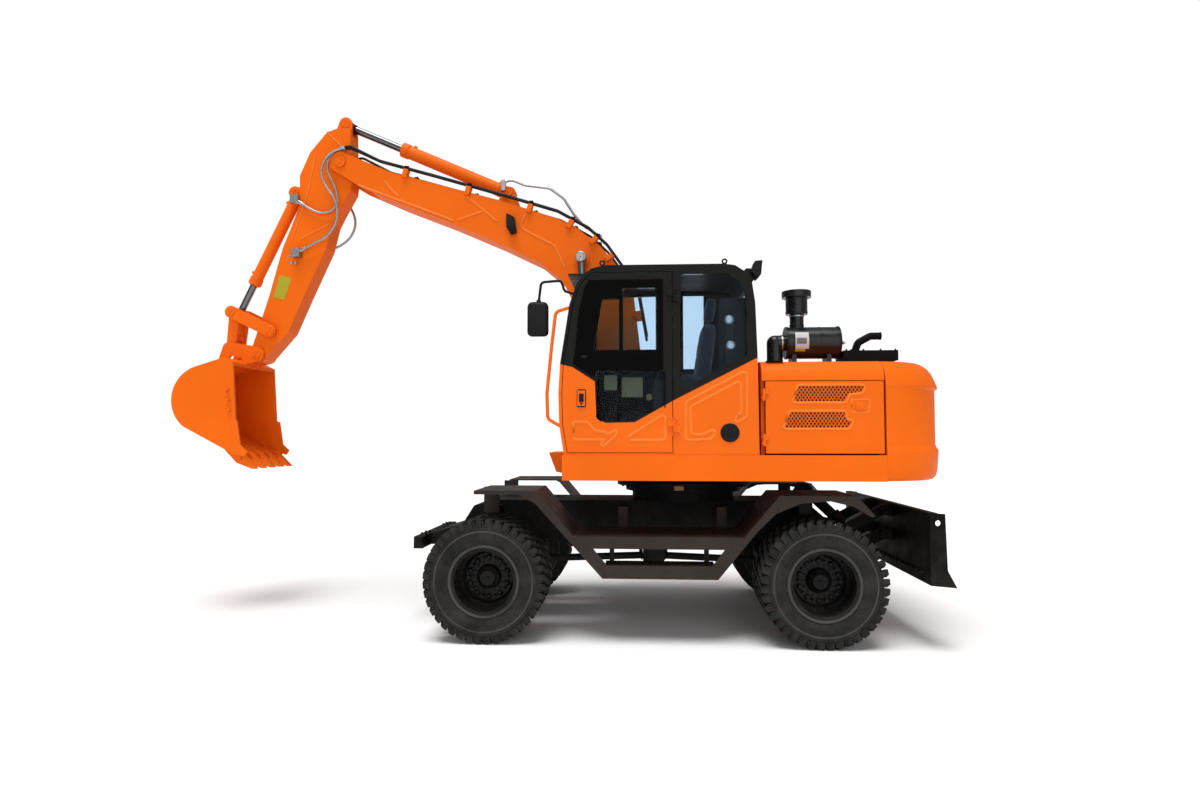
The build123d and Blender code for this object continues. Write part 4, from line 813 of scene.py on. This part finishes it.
grilles = (
    [(2600, 2149), (3150, 2149), (3124, 2079), (3019, 2067), (2987, 2002), (2555, 2002)],
    [(2535, 1936), (2986, 1936), (2997, 1866), (3047, 1854), (3014, 1786), (2472, 1786)],
)
for hand, sign in (("left", -1), ("right", 1)):
    body, out = f"side_door_{hand}", (0, sign, 0)
    rims, wires, shade_sheet = Shape(), Shape(), Shape()
    for outline in grilles:
        ridge(rims, outline, SIDE * sign, 26, 12, 6)
        # a dark sheet fills each opening: painted shade for the dark inside the grille
        shade_sheet.prism(outline, (SIDE - 8.4) * sign, (SIDE - 7) * sign)
        for i in range(40):
            for run in ((70, 100), (-70, 100)):
                for stretch in clipped(outline, (2180 + 30 * i, 1786), run):
                    wires.tube([(x, (SIDE - 5) * sign, z) for x, z in stretch], 4.6, 6)
    ridge(rims, [(3036, 2026), (3180, 2026), (3170, 1922), (3026, 1922)], SIDE * sign, 14, 9, 6)
    # the rims take the lighter orange of a painted highlight
    rims.put(f"grille_rims_{hand}", orange_bead_highlight, body)
    shade_sheet.put(f"grille_shade_sheet_{hand}", seal_rubber, body)
    wires.put(f"grille_wires_{hand}", orange, body)
    pen.block(3064, 3142, SIDE * sign, (SIDE + 8) * sign, 1940, 2008)
    pen.knob((3103, (SIDE + 8) * sign, 1972), out, [(16, 0), (16, 3), (13, 5)], 24)
    pen.put(f"side_latch_{hand}", orange, body, bevel=2)
    for z in (1696, 2069):
        for x, proud in ((2306, 8), (2344, 2)):
            for up in (-26, 26):
                pen.screw((x, (SIDE + proud) * sign, z + up), out, 13)
    pen.put(f"side_hinge_bolts_{hand}", orange, body)

# dark sheets behind the grilles: painted shade for the engine bay
for sign in (-1, 1):
    pen.block(2450, 3180, (SIDE - 34) * sign, (SIDE - 30) * sign, 1760, 2170)
pen.put("radiator_shade_sheets", seal_rubber)

# ---- cab side ---------------------------------------------------------------------------
# door and cab beads take the lighter orange of a painted highlight
ridge(pen, [(748, 1848), (865, 1847), (935, 1772), (1022, 1762), (1030, 1742), (1111, 1780), (1108, 1740),
            (1003, 1639), (978, 1662), (1018, 1700), (757, 1698)], -SIDE, 18, 15)
ridge(pen, [(1208, 1722), (1493, 1904), (1519, 1885), (1518, 1697), (1228, 1695)], -SIDE, 30, 15)
pen.put("door_beads", orange_bead_highlight, "cab_door")
ridge(pen, [(2087, 1873), (2101, 1837), (2187, 1888), (2192, 2246), (2154, 2257), (1689, 2013), (1680, 1712),
            (1716, 1695), (1894, 1706), (1931, 1754), (1904, 1782), (1821, 1739), (1730, 1745), (1722, 1970),
            (2137, 2190), (2142, 1925)], -SIDE, 30, 15)
pen.put("cab_beads", orange_bead_highlight)

for outline in (  # the black border printed round the door's panes
        [(840, 2968), (880, 3040), (1500, 3040), (1500, 2968)],
        [(790, 2750), (840, 2968), (1012, 2968), (992, 2880)],
        [(765, 2442), (790, 2750), (992, 2880), (918, 2442)],
        [(992, 2880), (1012, 2968), (1165, 2968), (1165, 2880)],
        [(1139, 2442), (1139, 2880), (1165, 2880), (1165, 2442)],
        [(1448, 2442), (1448, 2968), (1500, 2968), (1500, 2442)],
        [(944, 2276), (944, 2442), (1500, 2442), (1500, 2276)],
        [(745, 2330), (765, 2442), (944, 2442), (944, 2276), (925, 2215)],
        [(1509, 1960), (1509, 2276), (1518, 2276), (1518, 1965)]):
    pen.prism(outline, -1185.5, -SIDE)
pen.put("door_glass_border", gloss_black, "cab_door")

pen.block(800, 838, -1203, -1196, 2012, 2082)
pen.knob((819, -1196, 1998), LEFT, [(9, 0), (9, 4), (7, 6)], 20)
pen.block(816, 866, -1188, -1181, 2381, 2403)
pen.put("door_lever", plastic, "cab_door", bevel=2.5)
rim = ((818, 2114), (852, 2114), (852, 1974), (784, 1974), (784, 2114), (818, 2114))
pen.tube(rounded([(x, -1182, z) for x, z in rim], 12), 5, 8)
pen.put("door_handle_rim", seal_rubber, "cab_door")

for body, edge, bolt_x in (("cab_door", 1548, 1566), ("platform", 1600, 1612)):
    for z in (1810, 2895):
        for up in (-56, 0, 56):
            pen.screw((bolt_x, -1181, z + up), LEFT, 14)
        pen.block(edge, edge + 30, -1184, -1179, z - 80, z + 80)
    pen.put(f"cab_hinge_plates_{body}", cab_paint, body, bevel=1.2, steps=1)

pen.knob((2046, -SIDE, 1756), LEFT, [(78, -4), (78, 5), (72, 10), (60, 10), (56, 6), (26, 6), (24, 9)], 48)
pen.block(2034, 2058, -1193, -1186, 1722, 1790)
pen.put("door_stay_catch", plastic, bevel=1.5)

pen.block(2016, 2096, -1128, -1108, 2330, 2770)
pen.block(1975, 2235, -1060, -1040, 2120, 2900)
pen.put("rear_post_trim", plastic, bevel=8)
for x, z in ((2053, 2701), (2064, 2486)):
    pen.lathe((x, -1128, z), LEFT, [(0, 0), (40, 0), (40, 5), (36, 12), (27, 17), (22, 12), (0, 10)], 32)
pen.put("post_knobs", zinc)

for x_low, x_high, z_low, z_high in (
        (735, 1640, 1640, 2550), (735, 893, 2550, 3060), (1104, 1146, 2540, 3060), (1453, 1713, 2540, 3060),
        (893, 1146, 3040, 3090), (1640, 1713, 2100, 3090), (1713, 2240, 2040, 2362), (1905, 2240, 2362, 3090),
        (735, 2180, 3055, 3092)):
    pen.block(x_low, x_high, -354.5, -350, z_low, z_high)
for x_low, x_high, z_low, z_high in (
        (700, 2180, 3092, 3108), (2228, 2236, 1640, 2440), (690, 700, 1640, 2290)):
    pen.block(x_low, x_high, -1130, -360, z_low, z_high)
pen.block(735, 2230, -1130, -356, 1618, 1626)
pen.put("cab_lining", plastic)

pen.tube(rounded([(640, -745, 2370), (652, -700, 2450), (690, -600, 2680)], 30), 7, 8)
pen.tube([(664, -745, 2500), (712, -560, 2800)], 6, 8)
pen.put("wiper", seal_rubber)


# ---- seat -------------------------------------------------------------------------------
def pad(name, centre, axes, halves, power=4.5, channels=(), cuts=30):
    """A crowned, stuffed cushion whose sides pull in towards its seam, with sewn channels on its face."""
    def place(*shares):
        return sum((axis * (share * half) for axis, share, half in zip(axes, shares, halves)), Vector(centre))

    bmesh.ops.create_cube(pen.bm, size=2)
    bmesh.ops.subdivide_edges(pen.bm, edges=pen.bm.edges, cuts=cuts, use_grid_fill=True)
    for vertex in pen.bm.verts:
        u, v, w = vertex.co
        size = (abs(u) ** power + abs(v) ** power + abs(w) ** power) ** (1 / power)
        u, v, w = u / size, v / size, w / size
        seam = 1 - 0.035 * math.exp(-((w - 0.1) / 0.10) ** 2)
        u, v = u * seam, v * seam
        if w > 0:
            w -= 0.10 * sum(math.exp(-((u - channel) / 0.035) ** 2) for channel in channels)
            w -= 0.13 * (math.exp(-((abs(v) - 0.62) / 0.035) ** 2) if channels else 0)
            w += 0.05 * (1 - u * u) * (1 - v * v)
        vertex.co = at(*place(u, v, w))
    piece = pen.put(name, seat_cloth, angle=80)
    loop = []
    for i in range(73):
        a = 2 * math.pi * i / 72
        c, s = math.cos(a), math.sin(a)
        size = (abs(c) ** power + abs(s) ** power) ** (1 / power)
        loop.append(place(0.972 * c / size, 0.972 * s / size, 0.1))
    pen.tube(loop, 3.2, 8)
    pen.put(f"{name}_piping", seal_rubber, angle=60, slot="seat_cloth")
    return piece


side_way = Vector((0, 1, 0))
forward, upward = Vector((-0.995, 0, 0.10)), Vector((0.10, 0, 0.995))
backrest, front_of_back = Vector((0.137, 0, 0.99)), Vector((-0.99, 0, 0.137))
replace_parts(pad("seat_cushion", (1612, -740, 2052), (forward, side_way, upward), (188, 232, 62),
                channels=(-0.5, 0, 0.5)), "seat")
pad("seat_back", (1868, -740, 2370), (backrest, side_way, front_of_back), (345, 222, 66),
    channels=(-0.6, -0.2, 0.2, 0.6))
pad("head_rest", (1926, -740, 2842), (backrest, side_way, front_of_back), (104, 122, 44), power=3.5)
for hand, y in (("left", -1030), ("right", -450)):
    pad(f"arm_pad_{hand}", (1660, y, 2222), (-Vector(BACK), side_way, Vector(UP)), (150, 44, 24), cuts=18)
pen.block(1450, 1800, -930, -550, 1976, 1996)
for sign in (-1, 1):
    pen.tube([(1936, -740 + 34 * sign, 2690), (1942, -740 + 34 * sign, 2790)], 7, 12)
    pen.block(1800, 1850, -740 + 196 * sign, -740 + 226 * sign, 1960, 2090)
pen.put("seat_frame", chassis_black, bevel=3, slot="black_plastic")
pen.loft([(1836, -948, 2030), (1836, -944, 2030), (1850, -944, 2075), (1850, -948, 2075)],
         [(1700, -950, 2125), (1700, -946, 2125), (1712, -946, 2168), (1712, -950, 2168)])
pen.put("seat_belt", seat_cloth)

for y in (-1030, -450):
    for i in range(5):
        less = 5 * i
        pen.knob((1480, y, 2200 + 11 * i), UP, [(44 - less, 0), (46 - less, 4), (40 - less, 11)], 24)
    pen.lathe((1480, y, 2300), (0.05, 0, 1),
              [(0, 0), (17, 0), (21, 20), (19, 45), (26, 70), (24, 92), (14, 102), (0, 104)], 24)
    pen.block(1440, 1470, y - 30, y + 30, 2196, 2206)
pen.block(860, 930, -560, -380, 2270, 2420)
pen.tube(rounded([(900, -470, 2275), (910, -470, 2120), (960, -470, 1900), (970, -470, 1640)], 60), 14, 10)
for y in (-880, -820, -660, -600):
    pen.tube(rounded([(980, y, 1626), (950, y, 1720), (900, y, 1760)], 30), 8, 8)
    pen.block(860, 930, y - 34, y + 34, 1752, 1766)
pen.put("cab_levers", plastic, bevel=2, steps=1)
pen.knob((1384, -1076, 2057), LEFT, [(28, 0), (28, 6), (22, 10)], 24)
pen.block(1000, 1110, -1020, -1016, 2120, 2250)
pen.block(1150, 1330, -1020, -1016, 2060, 2230)
pen.put("control_labels", plate_olive)

# ---- air cleaner, exhaust, lamps and mirror ----------------------------------------------
CLEANER = (-500, 2581)   # Y and Z of the air cleaner's axis
for x, radius in ((2636, 149), (2650, 150), (2935, 147.5), (3096, 151), (3108, 152)):
    pen.lathe((x, *CLEANER), BACK, [(-8, -4), (0, -3), (0, 3), (-8, 4)], 56, radius)
for z, inner, edge, sides in ((2740, 60, 7, 36), (2838, 60, 7, 36), (2860, 94, 6, 40), (2990, 94, 6, 40)):
    pen.lathe((2742, -500, z), UP, [(0, -8), (6, -edge), (6, edge), (0, 8)], sides, inner)
pen.lathe((3110, *CLEANER), BACK, [(132, -2), (132, 6), (120, 10), (60, 14), (50, 8), (0, 8)], 48)
pen.put("cleaner_bands", canister, bevel=0.8, steps=1)
for centre, axis, inner, half in (
        ((2742, -500, 2826), UP, 63, 6), ((2600, *CLEANER), BACK, 73, 7), ((2540, -500, 2390), UP, 73, 7)):
    pen.lathe(centre, axis, [(0, -half), (3, -half), (3, half), (0, half)], 36, inner)
pen.knob((3118, *CLEANER), BACK, [(9, 0), (9, 34), (16, 36), (16, 46), (7, 50), (7, 60)], 16)
pen.put("cleaner_clamps", zinc, bevel=0.5, steps=1)

plates = (  # thin blank plates round the air cleaner: ends, angles from the horizontal, finish
    ("white", 2700, 2820, -28, 34, plate_white), ("grey", 2712, 2800, -10, 12, plate_grey),
    ("yellow", 2700, 2790, -38, -29, plate_yellow),
)
for name, x_low, x_high, low, high, finish in plates:
    turns = [math.radians(low + (high - low) * i / 10) for i in range(11)]
    ring = [(CLEANER[0] - 144.5 * math.cos(a), CLEANER[1] + 144.5 * math.sin(a)) for a in turns]
    ring += [(CLEANER[0] - 146.4 * math.cos(a), CLEANER[1] + 146.4 * math.sin(a)) for a in turns[::-1]]
    pen.loft(*[[(x, y, z) for y, z in ring] for x in (x_low, x_high)])
    pen.put(f"blank_label_{name}", finish, slot="black_plastic")

pen.lathe((3486, -500, 2640), BACK, [(30, 0), (36, 0), (36, 8), (30, 8), (27, 4), (0, 2)], 32)
pen.lathe((3260, -500, 2500), (0.2, 0, 1), [(33, 0), (42, 2), (42, 12), (33, 14)], 32)
for x in (3150, 3300, 3450, 3580):
    for y in (-628, -372):
        pen.bolt((x, y, 2495), UP, 16)
pen.put("exhaust_details", chassis_black, bevel=0.8, steps=1, slot="black_plastic")

mirror_arm = ((448, 2862), (468, 3037), (640, 3050), (668, 2960), (800, 2915))
pen.tube(rounded([(x, -1130, z) for x, z in mirror_arm], 40), 11, 14)
pen.knob((448, -1130, 2850), UP, [(20, -8), (20, 30), (14, 36)], 24)
pen.block(780, 830, -1152, -1108, 2890, 2940)
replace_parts(pen.put("mirror_stand", plastic, bevel=2), "mirror_left")
loops = []
for y, grow in ((-1168, -34), (-1166, -20), (-1156, -8), (-1140, 0), (-1112, 0), (-1104, -3)):
    left, right, low, high = 353 - grow, 531 + grow, 2574 - grow, 2868 + grow
    corners = ((442, low), (right, low), (right, high), (left, high), (left, low), (442, low))
    loops.append(rounded([(x, y, z) for x, z in corners], 52 + grow, 8)[:-1])
pen.loft(*loops)
pen.put("mirror_shell", plastic, angle=50)
pen.block(368, 516, -1104.2, -1101, 2590, 2852)
pen.put("mirror_glass", mirror_face)
pen.block(1608, 1694, -647, -640, 1240, 1283)
pen.put("ring_reflector", reflector_amber, bevel=2)

# ---- tops and right side ------------------------------------------------------------------
pen.knob((2060, 760, 2300), UP, [(92, -2), (92, 6), (60, 8), (60, 34), (56, 40)], 40)
pen.knob((1500, 620, 2300), UP, [(70, -2), (70, 10), (40, 12), (40, 52), (50, 54), (50, 78), (44, 84)], 36)
for spot in ring_of((2060, 760, 2306), UP, 78, 6):
    pen.screw(spot, UP, 18)
for x_low, x_high, z_high in ((1340, 2257, 2240), (730, 1250, 1920)):
    ridge(pen, [(x_low, 1640), (x_high, 1640), (x_high, z_high), (x_low, z_high)], SIDE, 40)
pen.block(1470, 1560, SIDE, 1188, 1690, 1780)
for x in (1390, 2200):
    for z in (1700, 2180):
        pen.knob((x, 1178, z), RIGHT, [(24, 0), (24, 5), (19, 9)], 24)
pen.put("tank_fittings", orange, bevel=1.5, steps=1)
pen.block(1880, 1912, 1181, 1190, 1800, 2080)
pen.block(940, 1040, SIDE, 1187, 1860, 1900)
for x_low, x_high, count, z in ((740, 1240, 6, 1980), (1350, 1420, 1, 2300)):
    step = (x_high - x_low) / count
    for i in range(count):
        pen.block(x_low + step * i + 12, x_low + step * (i + 1) - 12, 420, 1090, z - 1, z + 2.5)
for y_low, y_high in ((-1120, -700), (-300, 300), (700, 1120)):
    pen.block(2360, 2500, y_low, y_high, 2353, 2356.5)
pen.put("tread_strips", seal_rubber, bevel=1, steps=1)
rail = ((1340, 2298), (1340, 2420), (2180, 2420), (2180, 2298))
pen.tube(rounded([(x, 1120, z) for x, z in rail], 60), 15, 14)
for x in (1340, 2180):
    pen.knob((x, 1120, 2300), UP, [(34, -2), (34, 8)], 28)
pen.put("tank_rail", orange)
for x in (2400, 3210):
    pen.block(x - 3, x + 3, -1000, 1000, 2352, 2356)
pen.block(2400, 3210, -12, -8, 2352, 2356)
for x in (2560, 3060):
    for y in (150, 900):
        pen.block(x - 40, x + 40, y - 14, y + 14, 2353, 2366)
for x in (2440, 3170):
    pen.knob((x, 500, 2354), UP, [(26, 0), (26, 5), (20, 9)], 24)
pen.put("hood_seams", orange, bevel=1.5, steps=1)
for y in (-420, 420):
    pen.prism([(3560, 2346), (3660, 2346), (3650, 2400), (3610, 2426), (3570, 2400)], y - 14, y + 14)
    pen.lathe((3610, y - 18, 2392), RIGHT, [(16, 0), (26, 0), (26, 36), (16, 36), (16, 0)], 24)
pen.put("counterweight_eyes", orange, bevel=2)
pen.loft(*[[(x, y, z) for x, y in ((1150 + inset, -1010 + inset), (1850 - inset, -1010 + inset),
                                   (1850 - inset, -480 - inset), (1150 + inset, -480 - inset))]
           for z, inset in ((3162, 0), (3176, 0), (3184, 14))])
for y in (-900, -600):
    pen.block(1840, 1880, y - 30, y + 30, 3160, 3186)
for y in range(-1050, -400, 130):
    pen.lathe((790, y, 3050), (-0.75, 0, 0.6), [(0, 0), (10, 0), (10, 5), (0, 6)], 12)
pen.put("roof_hatch", cab_black, bevel=4)

# ---- steps, chassis and blade ------------------------------------------------------------
for sign in (-1, 1):
    for i in range(25):
        for j in range(7):
            x, y, lean = 1040 + 34 * i, (1120 - 34 * j) * sign, 9 if (i + j) % 2 else -9
            pen.loft(*[[(x - half, y - slant - thin, z), (x + half, y + slant - thin, z),
                        (x + half, y + slant + thin, z), (x - half, y - slant + thin, z)]
                       for half, slant, thin, z in ((9, lean, 2, 654.5), (7, lean * 0.8, 1, 657.5))])
pen.put("step_treads", step_brown, "chassis")
for spot in ring_of((1720, 0, 1262), (0, 0, -1), 600, 28):
    pen.bolt(spot, (0, 0, -1), 24)
pen.put("ring_bolts", chassis_black)
for y in range(-1040, 1041, 130):
    pen.bolt((3627, y, 610), (-1, 0, 0), 26)
for sign in (-1, 1):
    pen.lathe((3690, 1200 * sign, 1030), (0, sign, 0), [(24, -2), (34, -2), (34, 3), (30, 4), (24, 4)], 32)
pen.put("blade_bolts", chassis_black, "blade")
for x in (-760, -720):
    for y in (-420, -300, 300, 420):
        pen.bolt((x, y, 804), UP, 22)
for x, axis in ((1318, (-1, 0, 0)), (1536, BACK)):
    for spot in ring_of((x, 0, 600), BACK, 62, 8):
        pen.bolt(spot, axis, 16)
    pen.knob((x, 0, 600), axis, [(84, -6), (84, 10), (60, 16), (40, 30)], 32)
pen.put("driveline_bolts", chassis_black, "chassis", bevel=0.6, steps=1)


# ---- floor, world and lamps --------------------------------------------------------------
def stage_piece(name, corners, material):
    mesh = bpy.data.meshes.new(name)
    mesh.from_pydata(corners, [], [tuple(range(len(corners)))])
    piece = bpy.data.objects.new(name, mesh)
    mesh.materials.append(material)
    scene.collection.objects.link(piece)


half = 60   # metres from the middle of the floor to its sides
ground = Shading("studio_floor", Roughness=0.9, Specular_IOR_Level=0.0)
ground = ground.finish(ground.mix(ground.cloud(0.4, 2, 0.3, 0.7), (0.93, 0.93, 0.93), (0.94, 0.94, 0.94)))
stage_piece("floor", [(-half, -half, 0), (half, -half, 0), (half, half, 0), (-half, half, 0)], ground)

world = bpy.data.worlds.new("studio")
scene.world = world
sky = NodeTree(world)   # white where the camera sees it, dimmer as a light
rays = sky.add("LightPath").outputs
seen = sky.add("Math", {0: rays["Is Camera Ray"], 1: rays["Is Transmission Ray"]}, operation="MAXIMUM")
level = sky.add("MapRange", {"Value": seen.outputs[0], "To Min": 0.32, "To Max": 1.0}).outputs[0]
background = sky.add("Background", {"Color": (1, 1, 1, 1), "Strength": level}).outputs[0]
sky.add("OutputWorld", {0: background})

for name, towards, strength, spread in (  # soft studio suns: direction to the lamp
        ("top", (-0.08, -0.26, 1.0), 2.75, 34), ("front", (0.2, -1.0, 0.15), 0.85, 60)):
    lamp_data = bpy.data.lights.new(name, "SUN")
    lamp_data.energy = strength
    lamp_data.angle = math.radians(spread)
    lamp = bpy.data.objects.new(name, lamp_data)
    lamp.rotation_euler = Vector(towards).to_track_quat("Z", "Y").to_euler()
    scene.collection.objects.link(lamp)
